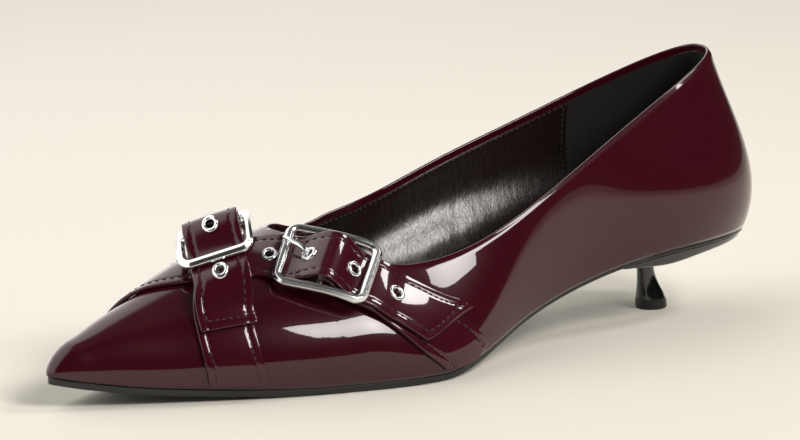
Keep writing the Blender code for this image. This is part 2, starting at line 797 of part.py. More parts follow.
def hole_places(fastening):
    """Middles of the holes in the long strap, a pitch apart from the prong's hole."""
    first = BUCKLES[fastening.name]["prong_hole"]
    return [first + EYELET_PITCH * (number) for number in range(-1, 4)
            if first + EYELET_PITCH * number < BUCKLES[fastening.name]["end"] - EYELET_PITCH * 0.6]


def turned_on_strap(fastening, u, profile, turns):
    """Rings of a turned profile of radius and height, square to the long strap's top at u."""
    around = np.linspace(0, 2 * math.pi, turns, endpoint=False) + 0.13
    slope = math.atan(fastening.slope(u))
    top = float(fastening.long_strap(u)) + STRAP_THICK
    reach = np.linspace(-1, 1, 9) * EYELET_OUTER / 2 * math.cos(slope)
    swell = fastening.long_strap(u + reach) + STRAP_THICK - top - reach * math.tan(slope)
    top += float(np.max(swell))
    rings = []
    for radius, height in profile:
        along = radius * np.cos(around)
        u_ring = u + along * math.cos(slope) - height * math.sin(slope)
        h_ring = top + along * math.sin(slope) + height * math.cos(slope)
        c_ring = radius * np.sin(around) + float(fastening.drift(u))
        h_ring = h_ring + fastening.stand_off(u_ring, c_ring)
        rings.append(fastening.path.place(u_ring, c_ring, h_ring))
    return rings


def pierce(strap, fastening, root):
    """Cut the eyelet holes through the long strap."""
    radius = EYELET_HOLE / 2 + EYELET_WALL + FIT
    strap.modifiers.new("flat_faces", "TRIANGULATE")
    for number, u in enumerate(hole_places(fastening)):
        profile = ((radius, -3 * STRAP_THICK), (radius, 2 * STRAP_THICK))
        name = "hole_%s_%d" % (fastening.name, number + 1)
        cutter = bpy.data.objects.new(name, loft(name, turned_on_strap(fastening, u, profile, 14)))
        cutter.parent = root
        cutter.hide_render = True
        cutter.display_type = "WIRE"
        guides().objects.link(cutter)
        cut = strap.modifiers.new(name, "BOOLEAN")
        cut.operation = "DIFFERENCE"
        cut.solver = "EXACT"
        cut.object = cutter


def closed_rings(name, rings):
    """Closed solid from rings that follow each other round in a loop."""
    shape = bmesh.new()
    loops = [[shape.verts.new(point) for point in ring] for ring in rings]
    for index, one in enumerate(loops):
        other = loops[(index + 1) % len(loops)]
        for place in range(len(one)):
            after = (place + 1) % len(one)
            shape.faces.new((one[place], one[after], other[after], other[place]))
    return from_bmesh(name, shape)


def make_eyelets(fastening, collection, root):
    """Metal rings: a barrel through each hole and a rolled rim on top."""
    inner = EYELET_HOLE / 2
    barrel = inner + EYELET_WALL
    outer = EYELET_OUTER / 2
    profile = (
        (inner, -STRAP_THICK),
        (barrel, -STRAP_THICK),
        (barrel, CLEARANCE),
        (outer, CLEARANCE),
        (outer, CLEARANCE + EYELET_RIM * 0.4),
        (outer - EYELET_RIM, CLEARANCE + EYELET_RIM),
        (barrel, CLEARANCE + EYELET_RIM),
        (inner, CLEARANCE + EYELET_RIM * 0.5),
    )
    made = []
    for number, u in enumerate(hole_places(fastening)):
        name = "eyelet_%s_%d" % (fastening.name, number + 1)
        mesh = closed_rings(name, turned_on_strap(fastening, u, profile, 14))
        made.append(add_object(name, mesh, "metal", collection, root))
    return made


def rounded_rectangle(length, width, radius, corner_steps):
    """Corners of a rectangle with round corners, in order, centred on the origin."""
    points = []
    for quarter in range(4):
        centre_u = (length / 2 - radius) * (1, -1, -1, 1)[quarter]
        centre_c = (width / 2 - radius) * (1, 1, -1, -1)[quarter]
        for turn in np.linspace(quarter, quarter + 1, corner_steps) * math.pi / 2:
            points.append((centre_u + radius * math.cos(turn), centre_c + radius * math.sin(turn)))
    return np.array(points)


def make_buckle(fastening, collection, root):
    """Cast frame with round corners, bowed along the strap, and its centre bar."""
    name = "buckle_" + fastening.name
    line = rounded_rectangle(BUCKLE_LENGTH - BAR_WIDTH, BUCKLE_WIDTH - BAR_WIDTH,
                             CORNER_ROUND - BAR_WIDTH / 2, 5)
    middle = np.concatenate((line, (line + np.roll(line, -1, axis=0))[4::5] / 2))
    order = np.argsort(np.arctan2(middle[:, 1], middle[:, 0]))
    line = middle[order]
    ahead = np.roll(line, -1, axis=0) - np.roll(line, 1, axis=0)
    ahead /= np.linalg.norm(ahead, axis=1, keepdims=True)
    out = np.stack((ahead[:, 1], -ahead[:, 0]), axis=1)
    around = np.linspace(0, 2 * math.pi, 8, endpoint=False)
    rings = []
    for point, side in zip(line, out):
        flat = point[None, :] + side[None, :] * (BAR_WIDTH / 2 * np.cos(around))[:, None]
        height = fastening.buckle(np.full(8, point[0])) + BAR_HEIGHT / 2 * np.sin(around)
        height += fastening.stand_off(flat[:, 0], flat[:, 1])
        rings.append(fastening.path.place(flat[:, 0], flat[:, 1], height))
    body = add_object(name, closed_rings(name, rings), "metal", collection, root)
    reach = BUCKLE_WIDTH / 2 - BAR_WIDTH / 2
    around = np.linspace(0, 2 * math.pi, 12, endpoint=False)
    bar_rings = []
    for c in (-reach, 0.0, reach):
        u = CENTRE_BAR / 2 * np.cos(around)
        h = float(fastening.buckle(0.0)) + CENTRE_BAR / 2 * np.sin(around)
        h = h + fastening.stand_off(u, c)
        bar_rings.append(fastening.path.place(u, np.full(12, c), h))
    bar_name = "centre_bar_" + fastening.name
    bar = bpy.data.objects.new(bar_name, loft(bar_name, bar_rings))
    bar.parent = root
    bar.hide_render = True
    bar.display_type = "WIRE"
    guides().objects.link(bar)
    body.modifiers.new("flat_faces", "TRIANGULATE")
    join = body.modifiers.new("centre_bar", "BOOLEAN")
    join.operation = "UNION"
    join.solver = "EXACT"
    join.object = bar
    return body


def make_prong(fastening, collection, root):
    """Buckle tongue: leaves the centre bar, comes up through a hole, rests on the far bar."""
    name = "prong_" + fastening.name
    hole = BUCKLES[fastening.name]["prong_hole"]
    slope = math.atan(fastening.slope(hole))
    top = float(fastening.long_strap(hole)) + STRAP_THICK
    far = -(BUCKLE_LENGTH - BAR_WIDTH) / 2
    rest = float(fastening.buckle(far)) + BAR_HEIGHT / 2 + CLEARANCE + PRONG / 2
    start = -(CENTRE_BAR / 2 + CLEARANCE + PRONG / 2)
    level = float(fastening.buckle(0.0))
    below = 2.0 * MM
    above = 0.9 * MM
    guide = (
        (start, level - 0.2 * MM),
        (hole + (below + 0.6 * MM) * math.sin(slope), top - (below + 0.9 * MM) * math.cos(slope)),
        (hole, top - STRAP_THICK / 2),
        (hole - above * math.sin(slope), top + above * math.cos(slope)),
        ((hole + far) / 2 - 1.0 * MM, rest + 0.5 * MM),
        (far - BAR_WIDTH * 0.45, rest),
    )
    guide = np.array(guide)
    step = np.concatenate(([0], np.cumsum(np.linalg.norm(np.diff(guide, axis=0), axis=1))))
    line = natural(step, guide, np.linspace(0, step[-1], 16))
    ahead = np.gradient(line, axis=0)
    ahead /= np.linalg.norm(ahead, axis=1, keepdims=True)
    around = np.linspace(0, 2 * math.pi, 10, endpoint=False)
    rings = []
    for point, way in zip(line, ahead):
        u = point[0] - way[1] * PRONG / 2 * np.cos(around)
        c = PRONG / 2 * np.sin(around)
        h = point[1] + way[0] * PRONG / 2 * np.cos(around) + fastening.stand_off(u, c)
        rings.append(fastening.path.place(u, c, h))
    return add_object(name, loft(name, rings), "metal", collection, root)


def make_fastening(name, collection, root):
    """Short strap, long strap with its holes and eyelets, buckle and prong."""
    fastening = Fastening(name)
    end = BUCKLES[name]["end"]
    short = make_strap("strap_%s_anchor" % name, "strap", fastening, -0.4 * MM, None,
                       fastening.anchor, np.zeros_like, 26, collection, root)
    long_one = make_strap("strap_%s" % name, "strap", fastening, None, end,
                          fastening.long_strap, fastening.drift, 44, collection, root)
    pierce(long_one, fastening, root)
    made = [short, long_one, make_buckle(fastening, collection, root)]
    made.append(make_prong(fastening, collection, root))
    return made + make_eyelets(fastening, collection, root)


def guides():
    """Collection of the cutters and guides."""
    found = bpy.data.collections.get("guides")
    if found is None:
        found = bpy.data.collections.new("guides")
        bpy.context.scene.collection.children.link(found)
    return found


def build():
    for old in list(bpy.data.objects):
        bpy.data.objects.remove(old, do_unlink=True)
    collection = bpy.data.collections.new("kitten_heel_pump")
    bpy.context.scene.collection.children.link(collection)
    root = bpy.data.objects.new("shoe", None)
    collection.objects.link(root)
    bodies = [
        make_upper(collection, root),
        make_outsole(collection, root),
        make_insole(collection, root),
        make_heel(collection, root),
        make_top_piece(collection, root),
    ]
    for name in ROUTES:
        bodies += make_fastening(name, collection, root)
    centre_at_origin(bodies, root)


build()
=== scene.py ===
# %% [markdown]
# # A kitten heel pump, dressed
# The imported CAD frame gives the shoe's solids. This lesson wraps them in the surfaces and
# finishes that the eye judges: high-shine leather, a satin lining, polished nickel and
# black lacquer. High-shine leather acts as a dark mirror, so every bump of a faceted solid
# would show. The shapes are therefore worked out again as dense, smooth surfaces.

# %% Load the frame
import math
import bmesh
import bpy
import numpy as np
from mathutils import Matrix, Vector


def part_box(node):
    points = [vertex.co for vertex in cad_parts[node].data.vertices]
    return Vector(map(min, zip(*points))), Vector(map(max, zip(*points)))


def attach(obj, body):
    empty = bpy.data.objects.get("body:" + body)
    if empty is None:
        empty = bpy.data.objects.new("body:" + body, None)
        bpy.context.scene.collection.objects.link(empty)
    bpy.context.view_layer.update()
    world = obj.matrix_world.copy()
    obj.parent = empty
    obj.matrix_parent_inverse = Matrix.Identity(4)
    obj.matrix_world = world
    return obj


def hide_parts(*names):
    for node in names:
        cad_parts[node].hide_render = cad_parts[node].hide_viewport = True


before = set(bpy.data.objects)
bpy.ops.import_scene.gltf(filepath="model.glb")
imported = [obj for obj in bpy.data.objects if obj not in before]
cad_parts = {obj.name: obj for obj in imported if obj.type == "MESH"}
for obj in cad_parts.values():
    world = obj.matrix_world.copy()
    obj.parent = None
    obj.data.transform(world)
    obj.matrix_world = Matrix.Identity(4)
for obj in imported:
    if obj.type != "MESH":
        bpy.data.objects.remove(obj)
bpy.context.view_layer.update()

# %% [markdown]
# ## The last's own sizes
# A shoemaker's last sets every shape. Its main sizes are real millimetres, and each table
# holds shares of them: the outline from above, the underside, the ridge of the vamp, the
# edge of the opening and the lean of the side walls. Smooth curves run through the rows.

# %% Main sizes
MM = 0.001
NEAR = -1
FAR = 1
LENGTH = 262 * MM
BALL_WIDTH = 78 * MM
VAMP_HEIGHT = 43.2 * MM
BACK_HEIGHT = 84.7 * MM
SEAT_HEIGHT = 24.9 * MM
TOE_SPRING = 8.0 * MM
TOE_RADIUS = 9.0 * MM
HEEL_BULGE = 1.9 * MM
COLLAR_LEAN = 8.4 * MM
THROAT = 84 * MM
THROAT_ROUND = 30 * MM
WALL = 1.8 * MM
EDGE_WALL = 1.5 * MM
EDGE_SOFT = 0.45 * MM
EDGE_SOFT_OVER = 1.6 * MM
SOLE_EDGE = 2.3 * MM
SOLE_INSET = 0.5 * MM
INSOLE_THICK = 1.6 * MM
CLEARANCE = 0.3 * MM
HEEL_ROUND_FROM = 0.782
SEAT_POWER = 2.6
COLLAR_POWER = 2.3
DOME_START = math.radians(-12)
PEAK = 0.27
PEAK_FROM = 0.16
SIDES_FROM = 0.335
SIDES_TO = 0.48

# %% Tables of the last, as shares of the named sizes
OUTLINE = {
    "columns": ("at", "near", "far"),
    "rows": (
        (0.000, 0.059, 0.059), (0.038, 0.103, 0.097), (0.076, 0.159, 0.151),
        (0.153, 0.273, 0.251), (0.248, 0.406, 0.359), (0.344, 0.508, 0.430),
        (0.420, 0.559, 0.438), (0.496, 0.528, 0.388), (0.592, 0.415, 0.306),
        (0.687, 0.341, 0.292), (0.782, 0.326, 0.318), (0.885, 0.345, 0.356),
        (1.000, 0.352, 0.360),
    ),
}
PROFILE = {
    "columns": ("at", "spring", "seat", "edge"),
    "rows": (
        (0.000, 1.00, 0.000, 1.00), (0.076, 0.54, 0.000, 1.00), (0.172, 0.22, 0.000, 1.00),
        (0.286, 0.01, 0.000, 1.00), (0.350, -0.03, 0.000, 1.00), (0.420, -0.03, -0.004, 1.00),
        (0.456, 0.00, 0.000, 0.98), (0.496, 0.00, 0.066, 0.90), (0.542, 0.00, 0.205, 0.80),
        (0.592, 0.00, 0.385, 0.66), (0.687, 0.00, 0.662, 0.54), (0.782, 0.00, 0.865, 0.52),
        (0.885, 0.00, 0.976, 0.52), (1.000, 0.00, 1.000, 0.52),
    ),
}
CREST = {
    "columns": ("at", "height", "offset"),
    "rows": (
        (0.000, 0.415, 0.000), (0.046, 0.498, 0.004), (0.076, 0.578, 0.008),
        (0.115, 0.668, 0.014), (0.160, 0.775, 0.022), (0.210, 0.888, 0.032),
        (0.267, 0.987, 0.043), (0.321, 1.050, 0.050), (0.363, 1.110, 0.053),
        (0.420, 1.125, 0.056), (0.520, 1.120, 0.056),
    ),
}
TOPLINE = {
    "columns": ("at", "near", "far", "near_height", "far_height"),
    "rows": (
        (0.321, 0.215, 0.190, 0.470, 0.490), (0.363, 0.276, 0.240, 0.436, 0.485),
        (0.439, 0.358, 0.315, 0.410, 0.487), (0.534, 0.400, 0.370, 0.458, 0.525),
        (0.630, 0.381, 0.373, 0.574, 0.617), (0.725, 0.333, 0.341, 0.708, 0.716),
        (0.809, 0.282, 0.292, 0.824, 0.812), (0.885, 0.248, 0.254, 0.916, 0.903),
        (0.967, 0.225, 0.232, 1.000, 1.000),
    ),
}
WALLS = {
    "columns": ("at", "near_foot", "near_edge", "far_foot", "far_edge"),
    "rows": (
        (0.360, 0.30, 0.90, 0.25, 0.80), (0.439, 0.24, 0.72, 0.20, 0.60),
        (0.534, 0.18, 0.38, 0.22, 0.22), (0.630, 0.22, 0.20, 0.34, 0.06),
        (0.725, 0.30, 0.22, 0.38, 0.14), (0.809, 0.42, 0.34, 0.42, 0.30),
        (0.885, 0.46, 0.36, 0.46, 0.36), (1.000, 0.42, 0.24, 0.42, 0.24),
    ),
}


def spline(at, values, where):
    """Natural cubic curve through the points (at, values), held level past both ends.

    Its bends are found from the usual three-term equations, one row per inner point.
    """
    at = np.asarray(at, float)
    values = np.asarray(values, float)
    where = np.clip(where, at[0], at[-1])
    gap = np.diff(at)
    slope = np.diff(values) / gap
    inner = np.arange(1, len(at) - 1)
    system = np.eye(len(at))
    system[inner, inner - 1] = gap[:-1]
    system[inner, inner] = 2 * (gap[:-1] + gap[1:])
    system[inner, inner + 1] = gap[1:]
    right = np.zeros(len(at))
    right[inner] = 6 * np.diff(slope)
    bend = np.linalg.solve(system, right)
    cell = np.clip(np.searchsorted(at, where) - 1, 0, len(gap) - 1)
    width = gap[cell]
    left = (at[cell + 1] - where) / width
    step = (where - at[cell]) / width
    curve = (left ** 3 - left) * bend[cell] + (step ** 3 - step) * bend[cell + 1]
    return left * values[cell] + step * values[cell + 1] + curve * width ** 2 / 6


def read(table, name, x):
    """Value of a table's named column at the distance x from the toe tip."""
    rows = np.array(table["rows"])
    column = table["columns"].index(name)
    return spline(rows[:, 0], rows[:, column], np.asarray(x, float) / LENGTH)


def smooth_step(x, start, end):
    """Rises from 0 to 1 between start and end as 6t^5 - 15t^4 + 10t^3."""
    t = np.clip((x - start) / (end - start), 0, 1)
    return t ** 3 * (t * (6 * t - 15) + 10)


def unit(vectors):
    """Vectors divided by their own lengths."""
    return vectors / np.maximum(np.linalg.norm(vectors, axis=-1, keepdims=True), 1e-12)


def run_along(points):
    """Length from the first point to each point of a line: the sum of the steps so far."""
    return np.concatenate(([0], np.cumsum(np.linalg.norm(np.diff(points, axis=0), axis=1))))


print("ball width", BALL_WIDTH / MM, "mm, crest at the throat",
      round(float(read(CREST, "height", THROAT)) * VAMP_HEIGHT / MM, 1), "mm")

# %% [markdown]
# ## Placing the pieces
# The tables start at the toe tip. The frame has its origin below the middle of the shoe,
# so every point is shifted by one vector, which two of the frame's own boxes give.

# %% Shift from the toe tip to the frame's origin
HAIR = 0.05 * MM
sole_low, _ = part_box("outsole")
tip_low, tip_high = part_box("top_piece")
SHIFT = np.array((sole_low.x - SOLE_INSET - HAIR, (tip_low.y + tip_high.y) / 2, 0.0))
print("shift in mm:", np.round(SHIFT / MM, 3))

# %% [markdown]
# ## Helpers for meshes
# A surface here is a grid of points. Quads join neighbours, several grids can form one
# piece, and points that meet are welded, so seams and poles are closed.

# %% Mesh helpers


def grid_quads(rows, columns, wrap):
    """Corner numbers of the quads of a rows x columns grid.

    With wrap, the last column is joined to the first.
    """
    one = np.arange(rows - 1)[:, None] * columns
    last = columns if wrap else columns - 1
    here = np.arange(last)[None, :]
    after = (here + 1) % columns
    corners = (one + here, one + after, one + columns + after, one + columns + here)
    return np.stack(np.broadcast_arrays(*corners), axis=-1).reshape(-1, 4)


def clean_up(mesh, weld, degenerate):
    """Weld points that meet, drop faces of no area and turn all faces outwards."""
    shape = bmesh.new()
    shape.from_mesh(mesh)
    bmesh.ops.remove_doubles(shape, verts=shape.verts[:], dist=weld)
    bmesh.ops.dissolve_degenerate(shape, edges=shape.edges[:], dist=degenerate)
    bmesh.ops.recalc_face_normals(shape, faces=shape.faces[:])
    shape.to_mesh(mesh)
    shape.free()
    mesh.shade_smooth()


def build_mesh(name, grids, weld=0.004 * MM, sharp=None):
    """One welded mesh from grids: each is (points, wrap, slot number or array of slot numbers)."""
    points = []
    faces = []
    slots = []
    start = 0
    for grid, wrap, slot in grids:
        rows, columns = grid.shape[:2]
        quads = grid_quads(rows, columns, wrap)
        points.append(grid.reshape(-1, 3))
        faces.append(quads + start)
        slots.append(np.broadcast_to(slot, (len(quads),)))
        start += rows * columns
    mesh = bpy.data.meshes.new(name)
    mesh.from_pydata((np.concatenate(points) + SHIFT).tolist(), [], np.concatenate(faces).tolist())
    mesh.polygons.foreach_set("material_index", np.concatenate(slots).astype(np.int32))
    clean_up(mesh, weld, weld / 4)
    if sharp is not None:
        mesh.set_sharp_from_angle(angle=math.radians(sharp))
    return mesh


def add_piece(name, mesh, finishes, node=None):
    """Piece that rides on the shoe's one body, with its finishes and the node it stands for."""
    piece = bpy.data.objects.new(name, mesh)
    bpy.context.scene.collection.objects.link(piece)
    for finish in finishes:
        mesh.materials.append(finish)
    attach(piece, "root")
    if node:
        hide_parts(*((node,) if isinstance(node, str) else node))
    triangles = sum(len(face.vertices) - 2 for face in mesh.polygons)
    print(name, "triangles:", triangles)
    return piece


def cap(ring):
    """Grid of two rows that closes a ring with its middle point."""
    return np.stack((ring, np.broadcast_to(ring.mean(axis=0), ring.shape)))


def capped_tube(rings):
    """The grids of a tube of rings with both ends closed."""
    return [(rings, True, 0), (cap(rings[0]), True, 0), (cap(rings[-1]), True, 0)]


def full_turn(count):
    """Angles all the way round, evenly spaced, without the last one twice."""
    return np.linspace(0, 2 * math.pi, count, endpoint=False)


# %% [markdown]
# ## Helpers for finishes
# Colours are written as sRGB hex values, the way a picture editor shows them, and one
# function turns them to the linear numbers that a shader adds up. One small function adds
# a shader node with its settings and its links.

# %% Material helpers


def linear(hex_colour):
    """sRGB hex value to linear RGBA.

    Shares up to 0.04045 are divided by 12.92, the others are ((c + 0.055) / 1.055)^2.4.
    """
    shares = np.array([int(hex_colour[place:place + 2], 16) / 255 for place in (1, 3, 5)])
    low = shares / 12.92
    high = ((shares + 0.055) / 1.055) ** 2.4
    return (*np.where(shares <= 0.04045, low, high).tolist(), 1.0)


def add_node(tree, kind, settings=None, **links):
    """Add a shader node.

    Settings go to its properties or sockets, links join other sockets to it.
    """
    made = tree.nodes.new(kind)
    for key, value in (settings or {}).items():
        if key in made.inputs:
            made.inputs[key].default_value = value
        else:
            setattr(made, key, value)
    for key, source in links.items():
        tree.links.new(source, made.inputs[key.replace("_", " ")])
    return made


def start_finish(name, settings):
    """New material with one Principled shader, whose sockets take the settings."""
    made = bpy.data.materials.new(name)
    made.use_nodes = True
    tree = made.node_tree
    shader = tree.nodes["Principled BSDF"]
    for key, value in settings.items():
        shader.inputs[key].default_value = value
    place = add_node(tree, "ShaderNodeTexCoord").outputs["Object"]
    return made, tree, shader, place


# %% [markdown]
# ## High-shine leather
# Split leather gets a coat of clear resin that is brushed and buffed. The eye sees a deep
# wine red with mirror-like highlights, whose edges wobble a little because the grain below
# is never quite flat. A rough base under a clear coat gives this. Two soft bumps add the
# wobble (about 14 mm) and the fine peel of the coat (about 1.2 mm, drawn a little coarser
# than real so that it shows).

# %% Burgundy leather


def shine_leather(name, colour, wobble):
    """Wine leather under a clear coat; wobble is the strength of the slow bump."""
    made, tree, shader, place = start_finish(name, {
        "Base Color": linear(colour), "Roughness": 0.3, "IOR": 1.5,
        "Specular IOR Level": 0.06, "Coat Weight": 1.0, "Coat Roughness": 0.03,
        "Coat IOR": 1.5,
    })
    slow = add_node(tree, "ShaderNodeTexNoise", {"Scale": 70.0, "Detail": 1.0}, Vector=place)
    fine = add_node(tree, "ShaderNodeTexNoise", {"Scale": 850.0, "Detail": 2.0}, Vector=place)
    first = add_node(tree, "ShaderNodeBump", {"Strength": wobble, "Distance": 0.4 * MM},
                     Height=slow.outputs["Fac"])
    second = add_node(tree, "ShaderNodeBump", {"Strength": 0.05, "Distance": 0.05 * MM},
                      Height=fine.outputs["Fac"], Normal=first.outputs["Normal"])
    tree.links.new(second.outputs["Normal"], shader.inputs["Normal"])
    tree.links.new(second.outputs["Normal"], shader.inputs["Coat Normal"])
    return made


LEATHER = shine_leather("burgundy_shine_leather", "#350712", 0.10)
STRAP_LEATHER = shine_leather("burgundy_strap_leather", "#380915", 0.16)
print("finishes:", LEATHER.name, STRAP_LEATHER.name)

# %% [markdown]
# ## Lining, heel grip, thread
# The lining is dark synthetic leather with a satin face: its highlights are broad and
# streaky, because the face was rolled over a brushed drum. The heel grip is napped
# microfibre, which scatters light and stays matt black. The thread is dyed polyester.

# %% Lining, grip and thread


def satin_lining():
    """Brown-black face, half gloss, with streaks about 0.6 mm wide that run aslant down it."""
    made, tree, shader, place = start_finish("satin_lining", {
        "Base Color": linear("#1A110F"), "Roughness": 0.3, "Specular IOR Level": 0.7,
    })
    turned = add_node(tree, "ShaderNodeMapping",
                      {"Rotation": (0.0, math.radians(25), 0.0), "Scale": (1.0, 1.0, 0.25)},
                      Vector=place)
    streaks = add_node(tree, "ShaderNodeTexNoise", {"Scale": 1500.0, "Detail": 3.0},
                       Vector=turned.outputs["Vector"])
    patches = add_node(tree, "ShaderNodeTexNoise", {"Scale": 130.0, "Detail": 3.0},
                       Vector=turned.outputs["Vector"])
    rough = add_node(tree, "ShaderNodeMapRange", {"To Min": 0.16, "To Max": 0.48},
                     Value=streaks.outputs["Fac"])
    first = add_node(tree, "ShaderNodeBump", {"Strength": 0.5, "Distance": 0.14 * MM},
                     Height=streaks.outputs["Fac"])
    second = add_node(tree, "ShaderNodeBump", {"Strength": 0.6, "Distance": 0.9 * MM},
                      Height=patches.outputs["Fac"], Normal=first.outputs["Normal"])
    tree.links.new(rough.outputs["Result"], shader.inputs["Roughness"])
    tree.links.new(second.outputs["Normal"], shader.inputs["Normal"])
    return made


def napped(name, colour, scale, sheen, roughness=0.92):
    """Matt nap: fine bump and a soft sheen."""
    made, tree, shader, place = start_finish(name, {
        "Base Color": linear(colour), "Roughness": roughness, "Specular IOR Level": 0.2,
        "Sheen Weight": sheen, "Sheen Roughness": 0.5,
    })
    nap = add_node(tree, "ShaderNodeTexNoise", {"Scale": scale, "Detail": 3.0}, Vector=place)
    bump = add_node(tree, "ShaderNodeBump", {"Strength": 0.4, "Distance": 0.15 * MM},
                    Height=nap.outputs["Fac"])
    tree.links.new(bump.outputs["Normal"], shader.inputs["Normal"])
    return made


LINING = satin_lining()
GRIP = napped("napped_microfibre", "#191515", 1400.0, 0.12)
THREAD = napped("polyester_thread", "#35101C", 2600.0, 0.25, 0.5)
INNER_THREAD = napped("dark_polyester_thread", "#260C15", 2600.0, 0.2, 0.5)
print("finishes:", LINING.name, GRIP.name, THREAD.name, INNER_THREAD.name)

# %% [markdown]
# ## Sole, heel and metal
# The sole is black resin, buffed to a satin. The heel is moulded plastic under black
# lacquer. The tip is hard rubber. The buckles and eyelets are cast zinc with a polished
# nickel plate: a slightly warm mirror with a few hairlines from buffing.

# %% Sole, heel, tip and metal


def black_finish(name, colour, roughness, coat, grain, strength):
    """Black moulded finish: a roughness, a clear coat and a fine grain."""
    made, tree, shader, place = start_finish(name, {
        "Base Color": linear(colour), "Roughness": roughness, "Coat Weight": coat,
        "Coat Roughness": 0.06,
    })
    noise = add_node(tree, "ShaderNodeTexNoise", {"Scale": grain, "Detail": 2.0}, Vector=place)
    bump = add_node(tree, "ShaderNodeBump", {"Strength": strength, "Distance": 0.1 * MM},
                    Height=noise.outputs["Fac"])
    tree.links.new(bump.outputs["Normal"], shader.inputs["Normal"])
    return made


def nickel():
    """Polished plate: metallic, nearly white, with hairlines about 0.3 mm apart."""
    made, tree, shader, place = start_finish("polished_nickel", {
        "Base Color": linear("#ECEEF0"), "Metallic": 1.0, "Roughness": 0.2,
    })
    hairs = add_node(tree, "ShaderNodeTexNoise", {"Scale": 3000.0, "Detail": 2.0}, Vector=place)
    rough = add_node(tree, "ShaderNodeMapRange", {"To Min": 0.16, "To Max": 0.27},
                     Value=hairs.outputs["Fac"])
    tree.links.new(rough.outputs["Result"], shader.inputs["Roughness"])
    return made


SOLE = black_finish("satin_black_resin", "#0C0C0D", 0.32, 0.2, 900.0, 0.12)
LACQUER = black_finish("black_lacquer", "#070707", 0.2, 1.0, 120.0, 0.04)
RUBBER = black_finish("hard_black_rubber", "#0D0D0D", 0.42, 0.0, 1800.0, 0.2)
NICKEL = nickel()
print("finishes:", SOLE.name, LACQUER.name, RUBBER.name, NICKEL.name)

# %% [markdown]
# ## The upper's outer face
# On the last, the leather leaves the sole's edge, bulges a little and climbs to the ridge
# of the vamp or to the edge of the opening. One function of two parameters gives it: q runs
# from the toe to the heel, v from the sole to the top. In front of the throat each section
# is an elliptical dome. Behind it, a cubic curve with given leans makes the side wall.

# %% Outer face of the upper


def sole_bottom(x):
    """Underside of the sole, cut flat where it meets the floor."""
    curve = read(PROFILE, "spring", x) * TOE_SPRING + read(PROFILE, "seat", x) * SEAT_HEIGHT
    return np.maximum(curve, 0)


def sole_top(x):
    """Top of the sole: the underside plus the sole's thickness."""
    return sole_bottom(x) + read(PROFILE, "edge", x) * SOLE_EDGE


def rounded(x, radius):
    """Grows from 0 to 1 over the radius, as a quarter circle does: sqrt(1 - (1 - x/r)^2)."""
    return np.sqrt(1 - (1 - np.clip(x / radius, 0, 1)) ** 2)


def closed_plan(q, back, power):
    """Distance from the toe, width factor and turn of an outline that closes round the heel."""
    start = HEEL_ROUND_FROM * LENGTH
    turn = np.clip((q - start) / (LENGTH - start), 0, 1) * math.pi / 2
    along = np.abs(np.sin(turn)) ** (2 / power)
    narrow = np.clip(np.cos(turn), 0, 1) ** (2 / power)
    return np.where(q < start, q, start + (back - start) * along), narrow, turn


def side_name(side):
    return "near" if side == NEAR else "far"


def feather(side, q):
    """Line where the upper meets the sole, at station q, on one side."""
    x, narrow, _ = closed_plan(q, LENGTH + HEEL_BULGE, SEAT_POWER)
    half = read(OUTLINE, side_name(side), x) * BALL_WIDTH
    return x, side * half * rounded(x, TOE_RADIUS) * narrow, sole_top(x) + CLEARANCE


def crest_offset(q):
    return read(CREST, "offset", q) * BALL_WIDTH


